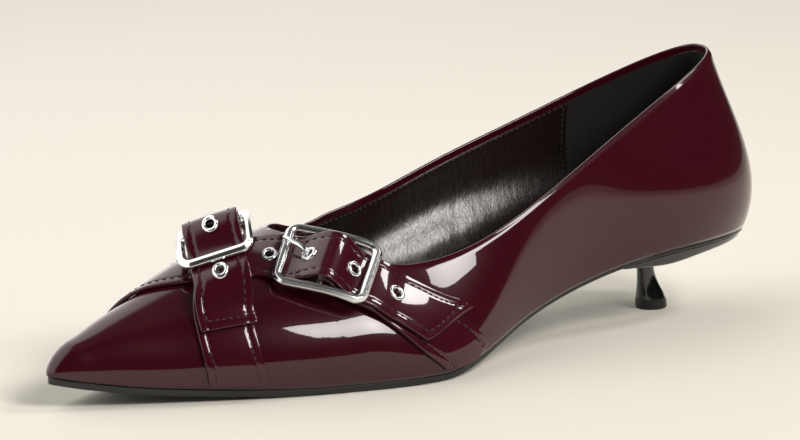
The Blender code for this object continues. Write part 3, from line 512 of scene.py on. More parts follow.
def upper_skin(side, q, v):
    """Outer face of the upper on one side.

    Dome: y = reach cos(a) and z rises with sin(a), where the angle a runs with v from a
    little below level to the edge, and the dome narrows by a peak share near its top.
    Wall: a cubic curve from the sole's edge to the opening's edge, with given leans.
    A smooth step along q hands over from the dome to the wall.
    """
    name = side_name(side)
    fx, fy, fz = feather(side, q)
    tx, narrow, turn = closed_plan(q, LENGTH - COLLAR_LEAN, COLLAR_POWER)
    centre = crest_offset(q)
    reach = np.maximum(side * (fy - centre), 1e-6)
    height = rounded(q, TOE_RADIUS) * (read(CREST, "height", q) * VAMP_HEIGHT - fz)
    opening = rounded(np.maximum(q - THROAT, 0), THROAT_ROUND)
    half = read(TOPLINE, name, tx) * BALL_WIDTH
    open_reach = opening * (half - side * centre)
    ty = np.where(q < HEEL_ROUND_FROM * LENGTH, side * open_reach + centre, side * half * narrow)
    start_sin = math.sin(DOME_START)
    peak = PEAK * smooth_step(q, TOE_RADIUS, PEAK_FROM * LENGTH)
    share = np.clip(open_reach * math.cos(DOME_START) / reach, 0, 1)
    cosine = share
    for _ in range(8):
        cosine = np.minimum(share / (1 - peak * (1 - cosine ** 2)), 1)
    end = np.arccos(cosine)
    angle = DOME_START + v * (end - DOME_START)
    narrow_top = 1 - peak * np.clip(np.sin(angle), 0, 1) ** 2
    dome_y = centre + side * reach / math.cos(DOME_START) * np.cos(angle) * narrow_top
    dome_rise = (np.sin(angle) - start_sin) / (1 - start_sin)
    dome_top = (np.sin(end) - start_sin) / (1 - start_sin)
    blend = smooth_step(q, SIDES_FROM * LENGTH, SIDES_TO * LENGTH)
    edge_height = read(TOPLINE, name + "_height", tx) * BACK_HEIGHT
    tz = fz + height * dome_top + blend * (edge_height - fz - height * dome_top)
    dome_z = fz + dome_rise / dome_top * (tz - fz)
    third = (tz - fz) / 3
    foot_lean = read(WALLS, name + "_foot", q) * third
    edge_lean = read(WALLS, name + "_edge", q) * third
    out_x = np.sin(turn)
    out_y = side * np.cos(turn)
    start = (1 - v) ** 3
    first = 3 * v * (1 - v) ** 2
    second = 3 * v ** 2 * (1 - v)
    last = v ** 3
    lean = first * foot_lean + second * edge_lean
    side_x = (start + first) * fx + (second + last) * tx + lean * out_x
    side_y = (start + first) * fy + (second + last) * ty + lean * out_y
    side_z = start * fz + first * (fz + third) + second * (tz - third) + last * tz
    x = q + blend * (side_x - q)
    y = dome_y + blend * (side_y - dome_y)
    z = dome_z + blend * (side_z - dome_z)
    return np.stack(np.broadcast_arrays(x, y, z), axis=-1)


def skin_normal(side, q, v):
    """Outward normal: the cross product of small steps along q and v, turned to face out."""
    dq = 0.2 * MM
    dv = 0.004
    along = upper_skin(side, np.clip(q + dq, 0, LENGTH), v) - upper_skin(side, q - dq, v)
    up = upper_skin(side, q, np.minimum(v + dv, 1)) - upper_skin(side, q, v - dv)
    return unit(np.cross(along, up)) * -side


near_top = upper_skin(NEAR, np.array(THROAT), np.array(1.0))
print("crest at the throat in mm:", np.round(near_top / MM, 1))

# %% [markdown]
# ## The shell
# A real upper is leather outside and lining inside, closed at the top by a folded edge. So
# the mesh has an outer grid for each side, a half-round roll along the opening, and inner
# grids one wall thickness further in. The first 2 mm inside the fold are still burgundy
# leather, the rest is lining, and 210.5 mm from the toe the napped heel grip starts.
# Near the insole the lining swells inwards, as it does over the stiff margin of a real shoe.

# %% Shell of the upper
FOLD = 2.0 * MM
LINING_STEP = 0.1 * MM
SWELL = 3.6 * MM
SWELL_FADE = (9 * MM, 27 * MM)
SWELL_FOOT = (3 * MM, 7 * MM)
SWELL_FRONT = (95 * MM, 130 * MM)
SWELL_BACK = (215 * MM, 240 * MM)
GRIP_FROM = 210.5 * MM


def stations(nose, vamp, throat, sides, heel):
    """Distances from the toe of the sections, closer where the last turns quickly."""
    tip = TOE_RADIUS * (1 - np.cos(np.linspace(0, math.pi / 2, nose, endpoint=False)))
    front = np.linspace(TOE_RADIUS, THROAT, vamp, endpoint=False)
    curl = THROAT + THROAT_ROUND * np.linspace(0, 1, throat, endpoint=False) ** 2
    wall = np.linspace(THROAT + THROAT_ROUND, HEEL_ROUND_FROM * LENGTH, sides, endpoint=False)
    back = np.linspace(HEEL_ROUND_FROM * LENGTH, LENGTH, heel)
    return np.concatenate((tip, front, curl, wall, back))


def edge_frames(q):
    """Points along the opening's edge, near side then far side, with normals and upward ways."""
    open_q = q[q >= THROAT - 1e-9]
    points = []
    normals = []
    for side in (NEAR, FAR):
        line = upper_skin(side, open_q, np.ones_like(open_q))
        normal = skin_normal(side, open_q, np.ones_like(open_q))
        points.append(line if side == NEAR else line[::-1][1:])
        normals.append(normal if side == NEAR else normal[::-1][1:])
    point = np.concatenate(points)
    normal = np.concatenate(normals)
    normal[0] = normal[-1] = unit(normal[1] + normal[-2])
    ahead = unit(np.roll(point, -1, axis=0) - np.roll(point, 1, axis=0))
    ahead[0] = ahead[-1] = unit(point[1] - point[-2])
    normal = unit(normal - ahead * np.sum(normal * ahead, axis=1, keepdims=True))
    return point, normal, np.cross(normal, ahead)


def lining_swell(q, face):
    """Extra thickness where the lining curves in towards the insole.

    Four smooth steps shape it: two of the face's height over the sole, two of the station.
    """
    height = face[..., 2] - sole_top(q)
    swell = SWELL * (1 - smooth_step(height, *SWELL_FADE)) * smooth_step(height, *SWELL_FOOT)
    return swell * smooth_step(q, *SWELL_FRONT) * (1 - smooth_step(q, *SWELL_BACK))


def wall_at(v):
    """Thickness at a share of the height: the wall is skived thinner towards the edge."""
    return EDGE_WALL + (WALL - EDGE_WALL) * smooth_step(1 - v, 0.0, 0.25)


def make_upper():
    """Closed shell: outer face, rolled edge, inner face and the margin under the insole."""
    q = stations(nose=22, vamp=80, throat=36, sides=80, heel=64)
    q = np.sort(np.append(q, GRIP_FROM))
    v = 1 - (1 - np.linspace(0, 1, 46)) ** 1.15
    count = len(q)
    split = int(np.argmax(q >= THROAT - 1e-9))
    edge, edge_normal, edge_up = edge_frames(q)
    turn = np.linspace(0, math.pi, 11)[:, None, None]
    middle = edge - edge_normal * (EDGE_WALL + EDGE_SOFT) / 2
    bend = edge_normal * np.cos(turn) + edge_up * np.sin(turn)
    roll = middle + bend * (EDGE_WALL - EDGE_SOFT) / 2
    grids = [(roll, False, 0)]
    open_count = count - split
    inner_edges = {NEAR: roll[-1, :open_count], FAR: roll[-1, open_count - 1:][::-1]}
    for side in (NEAR, FAR):
        outer = upper_skin(side, q[:, None], v[None, :])
        steps = np.linalg.norm(np.diff(outer, axis=1), axis=2)
        length = np.maximum(np.sum(steps, axis=1, keepdims=True), 6 * MM)
        below = (1 - v)[None, :] * length
        eased = np.clip(1 - below / EDGE_SOFT_OVER, 0, 1) ** 2
        soft = EDGE_SOFT * eased * (q >= THROAT - 1e-9)[:, None]
        outer = outer - skin_normal(side, q[:, None], v[None, :]) * soft[:, :, None]
        down = np.concatenate((np.linspace(0, FOLD, 4), [FOLD + 0.12 * MM]))
        near_edge = 1 - down[None, :] / length
        rest = near_edge[:, -1:] * (1 - np.linspace(0, 1, 34)[None, 1:])
        inner_v = np.concatenate((near_edge, rest), axis=1)
        inner_q = np.maximum(q, 2.5 * MM)[:, None]
        wall = wall_at(inner_v)
        wall[:, 4] += LINING_STEP
        inner = upper_skin(side, inner_q, inner_v)
        wall = wall + lining_swell(inner_q, inner)
        inner = inner - skin_normal(side, inner_q, inner_v) * wall[:, :, None]
        inner[split:, 0] = inner_edges[side]
        inner[0] = (3.5 * MM, 0.0, sole_top(0.0) + 4 * MM)
        cells = np.arange(inner.shape[1] - 1)[None, :] >= 3
        grip = (q[:-1, None] > GRIP_FROM - 1e-9) & cells
        lined = np.where(grip, 2, np.where(cells, 1, 0))
        lined = np.broadcast_to(lined, (count - 1, inner.shape[1] - 1)).reshape(-1)
        grids.append((outer, False, 0))
        grids.append((inner, False, lined))
        grids.append((np.stack((outer[:, 0], inner[:, -1])), False, 1))
    mesh = build_mesh("upper_shell", grids)
    return add_piece("upper_shell", mesh, (LEATHER, LINING, GRIP), "upper")


make_upper()

# %% [markdown]
# ## Sole and insole
# The sole is a thin sheet cut to the outline, with its lower edge eased by a file. Sections
# across it are rounded boxes, and the outline comes from the upper's lower edge moved
# inwards. The insole is a softer sheet of the same kind inside the shell.

# %% Layers under and in the shoe


def inset_outline(side, x, inset):
    """Half-width at x of the outline moved inwards all round by the inset."""
    q = np.linspace(0, LENGTH, 1500)
    fx, fy, _ = feather(side, q)
    gap = x[:, None] - fx[None, :]
    reach = np.sqrt(np.clip(inset ** 2 - gap ** 2, 0, None))
    return np.min(np.where(np.abs(gap) < inset, np.abs(fy)[None, :] - reach, 1.0), axis=1)


def layer_grid(inset, start, end, bottom, top, ease_low, ease_high, count):
    """Ring per station x: down one edge, across the bottom, up the other edge, across the top.

    Both edges are quarter ellipses with the given eases.
    """
    x = start + (end - start) * (1 - np.cos(np.linspace(0, math.pi, count))) / 2
    near = -inset_outline(NEAR, x, inset)
    far = inset_outline(FAR, x, inset)
    low = bottom(x)
    high = top(x)
    room = np.minimum((far - near) / 3, (high - low) / 2)
    soft_low = np.minimum(ease_low, room)[:, None]
    soft_high = np.minimum(ease_high, room)[:, None]
    turn = np.linspace(0, math.pi / 2, 6)[None, :]
    across = np.linspace(0, 1, 8)[None, 1:-1]
    near = near[:, None]
    far = far[:, None]
    low = low[:, None]
    high = high[:, None]
    flat_low = (far - near - 2 * soft_low) * across
    flat_high = (far - near - 2 * soft_high) * across
    y = np.concatenate((
        near + soft_low * (1 - np.cos(turn)), near + soft_low + flat_low,
        far - soft_low * (1 - np.sin(turn)), far - soft_high * (1 - np.cos(turn)),
        far - soft_high - flat_high, near + soft_high * (1 - np.sin(turn)),
    ), axis=1)
    flat = np.zeros_like(across + near)
    z = np.concatenate((
        low + soft_low * (1 - np.sin(turn)), low + flat, low + soft_low * (1 - np.cos(turn)),
        high - soft_high * (1 - np.sin(turn)), high + flat, high - soft_high * (1 - np.cos(turn)),
    ), axis=1)
    return np.stack((np.broadcast_to(x[:, None], y.shape), y, z), axis=-1)


HEEL_END = LENGTH + HEEL_BULGE - HAIR
sole_grid = layer_grid(SOLE_INSET, SOLE_INSET + HAIR, HEEL_END - SOLE_INSET,
                       sole_bottom, sole_top, 0.6 * MM, 0.25 * MM, 150)
add_piece("sole_sheet", build_mesh("sole_sheet", capped_tube(sole_grid)), (SOLE,), "outsole")
SOCK_INSET = WALL + 2 * CLEARANCE
sock_grid = layer_grid(SOCK_INSET, 7.0 * MM, HEEL_END - SOCK_INSET,
                       lambda x: sole_top(x) + CLEARANCE,
                       lambda x: sole_top(x) + CLEARANCE + INSOLE_THICK,
                       0.2 * MM, 0.7 * MM, 110)
add_piece("sock", build_mesh("sock", capped_tube(sock_grid)), (LINING,), "insole")

# %% [markdown]
# ## Heel
# A kitten heel is moulded in one piece: a thin seat that hugs the sole, and a waisted pin
# that flares again at the tip. Rings climb the pin, open out in a smooth fillet, run under
# the seat to its edge and turn up to the sole. The tip is a separate disc of rubber.

# %% Heel and tip
HEEL_AT = 232.3 * MM
TIP_RADIUS = 5.2 * MM
TIP_HEIGHT = 3.5 * MM
SEAT_DEPTH = 3.2 * MM
SEAT_FRONT = 203 * MM
SEAT_INSET = 1.4 * MM
PIN_LEAN = 2.6 * MM
SEAT = {
    "columns": ("at", "depth"),
    "rows": (
        (0.775, 0.10), (0.809, 0.62), (0.843, 0.98), (0.885, 0.84),
        (0.935, 0.58), (0.975, 0.40), (1.000, 0.30),
    ),
}
PIN = {
    "columns": ("at", "radius", "lean"),
    "rows": (
        (0.00, 1.00, 0.00), (0.15, 0.95, 0.12), (0.36, 0.70, 0.55), (0.50, 0.585, 0.82),
        (0.64, 0.535, 0.96), (0.76, 0.545, 1.00), (0.86, 0.66, 1.00), (0.93, 0.90, 1.00),
        (1.00, 1.30, 1.00),
    ),
}
PIN_ROWS = np.array(PIN["rows"])
PIN_TOP = float(sole_bottom(HEEL_AT) - CLEARANCE - 0.45 * SEAT_DEPTH)


def pin_rings(heights, turn):
    """Circles of the pin at shares of its height: radius and lean come from the table."""
    radius = spline(PIN_ROWS[:, 0], PIN_ROWS[:, 1], heights)[:, None] * TIP_RADIUS
    lean = spline(PIN_ROWS[:, 0], PIN_ROWS[:, 2], heights)[:, None] * PIN_LEAN
    rise = np.broadcast_to(heights[:, None] * PIN_TOP, (len(heights), len(turn)))
    return np.stack((HEEL_AT - lean + radius * np.cos(turn), radius * np.sin(turn), rise), axis=-1)


def seat_outline(turn):
    """Edge of the seat seen from the pin's middle: the first crossing of a ray with the outline."""
    x = np.linspace(SEAT_FRONT, LENGTH + HEEL_BULGE - SEAT_INSET - 0.1 * MM, 500)
    near = np.stack((x, -inset_outline(NEAR, x, SEAT_INSET)), axis=1)
    far = np.stack((x, inset_outline(FAR, x, SEAT_INSET)), axis=1)
    front = np.stack((np.full(60, SEAT_FRONT), np.linspace(far[0, 1], near[0, 1], 60)), axis=1)
    loop = np.concatenate((near, far[::-1], front[1:-1]))
    middle = np.array((HEEL_AT - PIN_LEAN, 0.0))
    angle = np.arctan2(loop[:, 1], loop[:, 0] - middle[0])
    order = np.argsort(angle)
    far_out = np.linalg.norm(loop - middle, axis=1)
    return np.interp(turn, angle[order], far_out[order], period=2 * math.pi)


def make_heel():
    """Rings up the pin, then outwards under the seat, up its edge and back over the top."""
    turn = full_turn(120)
    pin = pin_rings(np.linspace(TIP_HEIGHT / PIN_TOP, 0.93, 34), turn)
    middle = np.array((HEEL_AT - PIN_LEAN, 0.0))
    reach = seat_outline(turn)
    start = np.linalg.norm(pin[-1, :, :2] - middle, axis=1)
    share = np.linspace(0, 1, 26)[1:, None] ** 1.5
    radius = start + (reach - 0.5 * MM - start) * share
    x = middle[0] + radius * np.cos(turn)
    y = radius * np.sin(turn)
    below = sole_bottom(x) - CLEARANCE - read(SEAT, "depth", x) * SEAT_DEPTH
    fillet = np.exp(-(radius - start) / (1.1 * MM))
    z = below + (pin[-1, :, 2] - below) * fillet
    under = np.stack((x, y, z), axis=-1)
    rim_x = middle[0] + reach * np.cos(turn)
    rim_y = reach * np.sin(turn)
    rim_high = sole_bottom(rim_x) - CLEARANCE
    rim_low = np.minimum(rim_high - 0.15 * MM, z[-1] + 0.5 * MM)
    rim = np.stack((
        np.stack((rim_x, rim_y, rim_low), axis=-1),
        np.stack((rim_x, rim_y, rim_high - 0.05 * MM), axis=-1),
    ))
    inward = np.linspace(0.985, 0, 10)[:, None]
    top_x = middle[0] + reach * inward * np.cos(turn)
    top = np.stack((top_x, reach * inward * np.sin(turn), sole_bottom(top_x) - CLEARANCE), axis=-1)
    grid = np.concatenate((pin, under, rim, top))
    mesh = build_mesh("heel_body", [(grid, True, 0), (cap(pin[0]), True, 0)], sharp=50)
    return add_piece("heel_body", mesh, (LACQUER,), "heel")


def make_tip():
    """Disc under the pin: flat on the floor, with an eased lower edge."""
    turn = full_turn(80)
    ease = 0.7 * MM
    quarter = np.linspace(0, math.pi / 2, 8)
    heights = np.concatenate((ease * (1 - np.cos(quarter)), np.linspace(ease, TIP_HEIGHT, 8)[1:]))
    grid = pin_rings(heights / PIN_TOP, turn)
    middle = grid.mean(axis=1, keepdims=True)
    cut = np.concatenate((ease * (1 - np.sin(quarter)), np.zeros(7)))[:, None, None]
    way = unit(grid - middle)
    grid = grid - way * cut
    mesh = build_mesh("heel_tip", capped_tube(grid), sharp=50)
    return add_piece("heel_tip", mesh, (RUBBER,), "top_piece")


heel = make_heel()
tip = make_tip()

# %% [markdown]
# ## Where the straps run
# Each strap is drawn by a few guide points on the vamp. Seen from a spine inside the last,
# a point on the leather has a distance from the toe and an angle, and those two numbers run
# along the strap as smooth curves. Then every strap point is looked up on the outer face.

# %% Strap sizes and routes
STRAP_WIDTH = 17.8 * MM
STRAP_THICK = 1.3 * MM
LAYER = STRAP_THICK + CLEARANCE
BUCKLE_WIDTH = 24.0 * MM
BUCKLE_LENGTH = 28.3 * MM
BAR_WIDTH = 2.5 * MM
BAR_HEIGHT = 2.2 * MM
BAR_GAP = 0.55 * MM
CENTRE_BAR = 1.8 * MM
CORNER_ROUND = 4.0 * MM
PRONG = 1.3 * MM
EYELET_OUTER = 5.3 * MM
EYELET_HOLE = 2.6 * MM
EYELET_WALL = 0.35 * MM
RAMP = 8.0 * MM
HELD_RAMP = 13.0 * MM
SPINE = 10.0 * MM
FOOT_SHARE = 0.03
ROLL = 0.08
ROUTES = {
    "a": (
        (0.200, -0.342, 0.09), (0.194, -0.336, 0.31), (0.193, -0.306, 0.44),
        (0.206, -0.187, 0.72), (0.242, 0.007, 0.93), (0.272, 0.178, 0.88),
        (0.309, 0.330, 0.68), (0.352, 0.405, 0.36), (0.372, 0.430, 0.06),
    ),
    "b": (
        (0.494, -0.533, 0.08), (0.477, -0.546, 0.21), (0.447, -0.536, 0.35),
        (0.399, -0.457, 0.59), (0.331, -0.298, 0.81), (0.265, -0.109, 0.92),
        (0.200, 0.009, 0.87), (0.163, 0.110, 0.74), (0.142, 0.190, 0.50),
        (0.134, 0.222, 0.28), (0.132, 0.230, 0.12),
    ),
}
BUCKLES = {
    "a": {"guide": 4, "over": (-6 * MM, 22 * MM), "end": 33 * MM,
          "holes": (-21.6, -8.9, 3.2, 16.9), "arch": 2.4 * MM,
          "drift": 1.0 * MM, "lean": 0.0, "slant": 0.0, "puff": 2.0 * MM},
    "b": {"guide": 4, "over": None, "end": 43 * MM,
          "holes": (-17.4, -5.6, 8.2, 22.6), "arch": 1.4 * MM,
          "drift": 4.0 * MM, "lean": 4.0 * MM, "slant": 0.6, "puff": 0.3 * MM},
}


def polar(points):
    """Distance from the toe and angle from upright of points around the spine."""
    x = points[..., 0]
    return x, np.arctan2(points[..., 1] - crest_offset(x), points[..., 2] - SPINE)


def skin_point(x, angle):
    """Point of the outer face at a distance from the toe and an angle around the spine."""
    v = np.linspace(-0.12, 1.3, 60)
    found = np.zeros((len(x), 3))
    for side in (NEAR, FAR):
        seen = side * polar(upper_skin(side, x[:, None], v[None, :]))[1]
        share = [np.interp(side * one, row[::-1], v[::-1]) for one, row in zip(angle, seen)]
        face = upper_skin(side, x, np.array(share))
        found = np.where((side * angle >= 0)[:, None], face, found)
    return found


def skin_at(x, angle):
    """Point and outward normal: the normal is the cross product of small steps both ways."""
    step_x = 0.5 * MM
    step_angle = 0.02
    along = skin_point(x + step_x, angle) - skin_point(x - step_x, angle)
    around = skin_point(x, angle + step_angle) - skin_point(x, angle - step_angle)
    return skin_point(x, angle), unit(np.cross(along, around))


def across_of(vectors, way):
    """The part of the vectors that is square to a unit direction."""
    return vectors - way * np.sum(vectors * way, axis=-1, keepdims=True)


def held(u):
    """1 in the buckle, falling to 0 over a ramp outside it."""
    half = BUCKLE_LENGTH / 2
    return smooth_step(u, -half - HELD_RAMP, -half) * (1 - smooth_step(u, half, half + HELD_RAMP))


class Path:
    """Centre line of a strap on the upper, with the frame that turns along it."""

    def __init__(self, name):
        rows = np.array(ROUTES[name]) * (LENGTH, BALL_WIDTH, VAMP_HEIGHT)
        x, angle = polar(rows)
        guide = np.stack((x, angle * 30 * MM), axis=1)
        step = run_along(guide)
        where = np.linspace(0, step[-1], 120)
        self.points, self.normals = skin_at(spline(step, x, where), spline(step, angle, where))
        self.s = run_along(self.points)
        self.middle = float(np.interp(step[BUCKLES[name]["guide"]], where, self.s))
        self.arch = BUCKLES[name]["arch"]
        self.reach = BUCKLE_LENGTH / 2
        rest, _, _, normals = self.skin_frame(np.array((-self.reach, 0, self.reach)))
        self.centre = rest[1]
        self.way = unit(rest[2] - rest[0])
        self.up = unit(across_of(np.mean(normals, axis=0), self.way))
        self.centre = self.centre + self.up * self.sunk()

    def sunk(self):
        """How far the strap's plane in the buckle would sink into the upper."""
        u = np.linspace(-self.reach - HELD_RAMP, self.reach + HELD_RAMP, 40)
        point, _, across, _ = self.frame(u)
        rest, _, rest_across, _ = self.skin_frame(u)
        deepest = 0.0
        for c in (-STRAP_WIDTH / 2, 0.0, STRAP_WIDTH / 2):
            skin, skin_up = skin_at(*polar(rest + rest_across * c))
            hug = (1 - held(u))[:, None]
            base = point + across * c + (skin - rest - rest_across * c) * hug
            rise = np.sum((base - skin) * skin_up, axis=1) + held(u) * ROLL * (STRAP_WIDTH / 2 + c)
            deepest = max(deepest, -float(np.min(rise)))
        return deepest

    def skin_frame(self, u):
        """Point, way towards the near side, way across and normal on the upper itself."""
        s = self.middle - np.asarray(u, float)

        def at(rows, where):
            return np.stack([np.interp(where, self.s, column) for column in rows.T], axis=-1)

        point = at(self.points, s)
        ahead = unit(at(self.points, s - 1.5 * MM) - at(self.points, s + 1.5 * MM))
        normal = unit(across_of(at(self.normals, s), ahead))
        return point, ahead, np.cross(normal, ahead), normal

    def frame(self, u):
        """As skin_frame, but in the buckle it follows the buckle's own shallow arch."""
        u = np.asarray(u, float)
        point, ahead, _, normal = self.skin_frame(u)
        share = held(u)[..., None]
        bend = (self.arch * u / self.reach ** 2)[..., None]
        rigid = self.centre + self.way * u[..., None] - self.up * bend * u[..., None]
        point = point + share * (rigid - point)
        ahead = unit(ahead + share * (self.way - self.up * 2 * bend - ahead))
        normal = unit(across_of(normal + share * (self.up + self.way * 2 * bend - normal), ahead))
        return point, ahead, np.cross(normal, ahead), normal

    def place(self, u, c, h):
        """Point at u along the strap, c across it and h above the upper."""
        point, _, across, normal = self.frame(u)
        return point + across * np.asarray(c)[..., None] + normal * np.asarray(h)[..., None]


# %% [markdown]
# ## Layers at a buckle
# At a buckle the short strap climbs over the centre bar, the long strap lies on top of it,
# and the frame's bars sit between. One small class keeps the heights of all these layers,
# so that each piece asks it instead of repeating the sums.

# %% Heights of the layers


class Fastening:
    """Heights above the upper of the layers at one buckle, at u from its middle."""

    def __init__(self, name):
        self.name = name
        self.path = Path(name)
        self.opening = BUCKLE_LENGTH / 2 - BAR_WIDTH
        self.end = BUCKLES[name]["end"]

    def under(self, u):
        """Height of the other strap where this one crosses over it."""
        over = BUCKLES[self.name]["over"]
        u = np.asarray(u, float)
        if over is None:
            return np.zeros_like(u)
        rise = LAYER * smooth_step(u, over[0] - RAMP, over[0])
        return rise * (1 - smooth_step(u, over[1], over[1] + RAMP))

    def stand_off(self, u, c):
        """Extra height of the buckle and of the straps in it, which tilt with it."""
        return held(u) * ROLL * (STRAP_WIDTH / 2 + c)

    def buckle(self, u):
        """Middle of the frame: the near bar clears two layers, the far bar one."""
        low = CLEARANCE + STRAP_THICK + BAR_GAP + BAR_HEIGHT / 2
        return self.under(0.0) + low + LAYER * smooth_step(u, -self.opening, self.opening)

    def bump(self, u, reach):
        return np.cos(np.clip(np.abs(u) / reach, 0, 1) * math.pi / 2) ** 2

    def anchor(self, u):
        """Underside of the short strap, which rises over the centre bar."""
        top = float(self.buckle(0.0)) + CENTRE_BAR / 2 + CLEARANCE
        middle = CLEARANCE + float(self.under(0.0))
        return CLEARANCE + self.under(u) + (top - middle) * self.bump(u, self.opening - 1.5 * MM)

    def long_strap(self, u):
        """Underside of the long strap, over the short one from the centre bar onwards."""
        flat = CLEARANCE + self.under(u) + LAYER * smooth_step(u, -self.opening, self.opening)
        middle = CLEARANCE + float(self.under(0.0)) + LAYER / 2
        top = float(self.buckle(0.0)) + CENTRE_BAR / 2 + LAYER + BUCKLES[self.name]["puff"]
        return flat + (top - middle) * self.bump(u, self.opening - 0.3 * MM)

    def drift(self, u):
        """How far the long strap's loose end lies towards the throat."""
        share = np.clip((u - self.opening) / (self.end - self.opening), 0, 1)
        return BUCKLES[self.name]["drift"] * share ** 1.5

    def slope(self, u):
        step = 0.4 * MM
        return float(self.long_strap(u + step) - self.long_strap(u - step)) / (2 * step)

    def holes(self):
        """Middles of the holes in the long strap; the prong comes through the second."""
        return np.array(BUCKLES[self.name]["holes"]) * MM

    def cut(self, c):
        """How much further the loose end reaches at c across it, because it is cut on a slant."""
        return BUCKLES[self.name]["slant"] * c


FASTENINGS = {name: Fastening(name) for name in ROUTES}
for name, fastening in FASTENINGS.items():
    print("strap", name, "length on the upper in mm:", round(float(fastening.path.s[-1]) / MM, 1),
          "holes at", np.round(fastening.holes() / MM, 1).tolist())

# %% [markdown]
# ## Straps
# A strap is a folded band: soft round edges, a row of stitches near each edge that pulls
# the leather down into a shallow groove, and a slight swell between them. The cross-section
# is a closed ring of (across, up) pairs. It travels along the path, and hugs the vamp
# outside the buckle, while inside the buckle it lies level.

# %% Strap surfaces
STITCH_IN = 2.5 * MM
STITCH_PITCH = 2.1 * MM
GROOVE = 0.16 * MM


def strap_point(fastening, u, c, height):
    """Point above the strap's base: the base hugs the upper, but lies level in the buckle."""
    path = fastening.path
    level = held(u)
    point, _, across, normal = path.frame(u)
    rest, _, rest_across, _ = path.skin_frame(u)
    flat = rest + rest_across * c[:, None]
    skin, skin_up = skin_at(*polar(flat))
    hug = 1 - level[:, None]
    base = point + across * c[:, None] + (skin - flat) * hug
    lift = height + fastening.stand_off(u, c)
    return base + unit(normal + (skin_up - normal) * hug) * lift[:, None]


def foot_of(path, c, near_foot, reach):
    """Where the strap's line at c meets the sole, measured along the strap."""
    u = np.linspace(0, reach, 60)
    side = NEAR if near_foot else FAR
    point, _, across, _ = path.frame(u)
    x, angle = polar(point + across * c)
    beyond = np.abs(angle) - np.abs(polar(upper_skin(side, x, FOOT_SHARE))[1])
    crossing = np.nonzero(beyond > 0)[0]
    if len(crossing) == 0:
        return reach
    last = crossing[0]
    share = -beyond[last - 1] / (beyond[last] - beyond[last - 1])
    return u[last - 1] + share * (u[last] - u[last - 1])


def section():
    """Ring of (across, up) pairs: flat bottom, quarter-round edges, grooved and swelling top."""
    half = STRAP_WIDTH / 2
    ease = 0.42 * MM
    turn = np.linspace(0, math.pi / 2, 5)
    bottom = np.linspace(-half + 0.1 * MM, half - 0.1 * MM, 7)
    side_c = half - ease * (1 - np.cos(turn))
    side_h = STRAP_THICK - ease * (1 - np.sin(turn))
    seam = half - STITCH_IN
    right = seam + np.array((1.2, 0.7, 0.35, 0.0, -0.35, -0.7, -1.3)) * MM
    top = np.concatenate((right, np.linspace(4.0, -4.0, 7) * MM, -right[::-1]))
    swell = 0.12 * MM * np.cos(np.clip(np.abs(top) / seam, 0, 1) * math.pi / 2)
    dip = GROOVE * np.exp(-((np.abs(top) - seam) / (0.4 * MM)) ** 2)
    c = np.concatenate((bottom, [half], side_c, top, -side_c[::-1], [-half]))
    h = np.concatenate((np.zeros(7), [0.1 * MM], side_h, STRAP_THICK + swell - dip, side_h[::-1],
                        [0.1 * MM]))
    return c, h


def strap_grid(fastening, start, end, layer, drift, rows):
    """Rings along the strap from start to end; None means that it ends at the sole's edge."""
    path = fastening.path
    c, h = section()
    first = np.array([foot_of(path, one, False, path.middle - path.s[-1]) if start is None
                      else start for one in c])
    loose = end is not None and end > 0
    last = np.array([foot_of(path, one, True, path.middle) if end is None else
                     end + fastening.cut(one) * loose for one in c])
    share = np.linspace(0, 1, rows)
    edge = np.array((0.0, 0.0012, 0.003))
    share = np.concatenate((edge, share[1:-1], 1 - edge[::-1]))[:, None]
    u = first + (last - first) * share
    shrink = np.ones(len(share))
    shrink[:3] = (0.45, 0.82, 1.0)
    shrink[-3:] = (1.0, 0.82, 0.45)
    rise = STRAP_THICK / 2 + (h - STRAP_THICK / 2) * shrink[:, None]
    if loose:
        seam = end + fastening.cut(c) - STITCH_IN
        rise = rise - (h > STRAP_THICK * 0.8) * GROOVE * np.exp(-((u - seam) / (0.5 * MM)) ** 2)
    width = c * (1 - 0.02 * (1 - shrink[:, None]))
    flat = u.reshape(-1)
    points = strap_point(fastening, flat, width.reshape(-1) + drift(flat),
                         layer(flat) + rise.reshape(-1))
    return points.reshape(len(share), len(c), 3)


def pierced(name, mesh, fastening):
    """The strap's mesh with its holes cut by short cylinders, as a new mesh."""
    body = bpy.data.objects.new(name + "_whole", mesh)
    bpy.context.scene.collection.objects.link(body)
    radius = EYELET_HOLE / 2 + EYELET_WALL + 0.15 * MM
    profile = ((radius, -3 * STRAP_THICK), (radius, 2 * STRAP_THICK))
    cutters = []
    for number, u in enumerate(fastening.holes()):
        turned = turned_on_strap(fastening, u, profile, 32)
        tube = build_mesh("cutter", capped_tube(turned))
        cutter = bpy.data.objects.new("cutter_%d" % number, tube)
        bpy.context.scene.collection.objects.link(cutter)
        cut = body.modifiers.new("cut_%d" % number, "BOOLEAN")
        cut.operation = "DIFFERENCE"
        cut.solver = "EXACT"
        cut.object = cutter
        cutters.append(cutter)
    view = bpy.context.evaluated_depsgraph_get()
    result = bpy.data.meshes.new_from_object(body.evaluated_get(view))
    for old in (body, *cutters):
        bpy.data.objects.remove(old, do_unlink=True)
    result.name = name
    return result


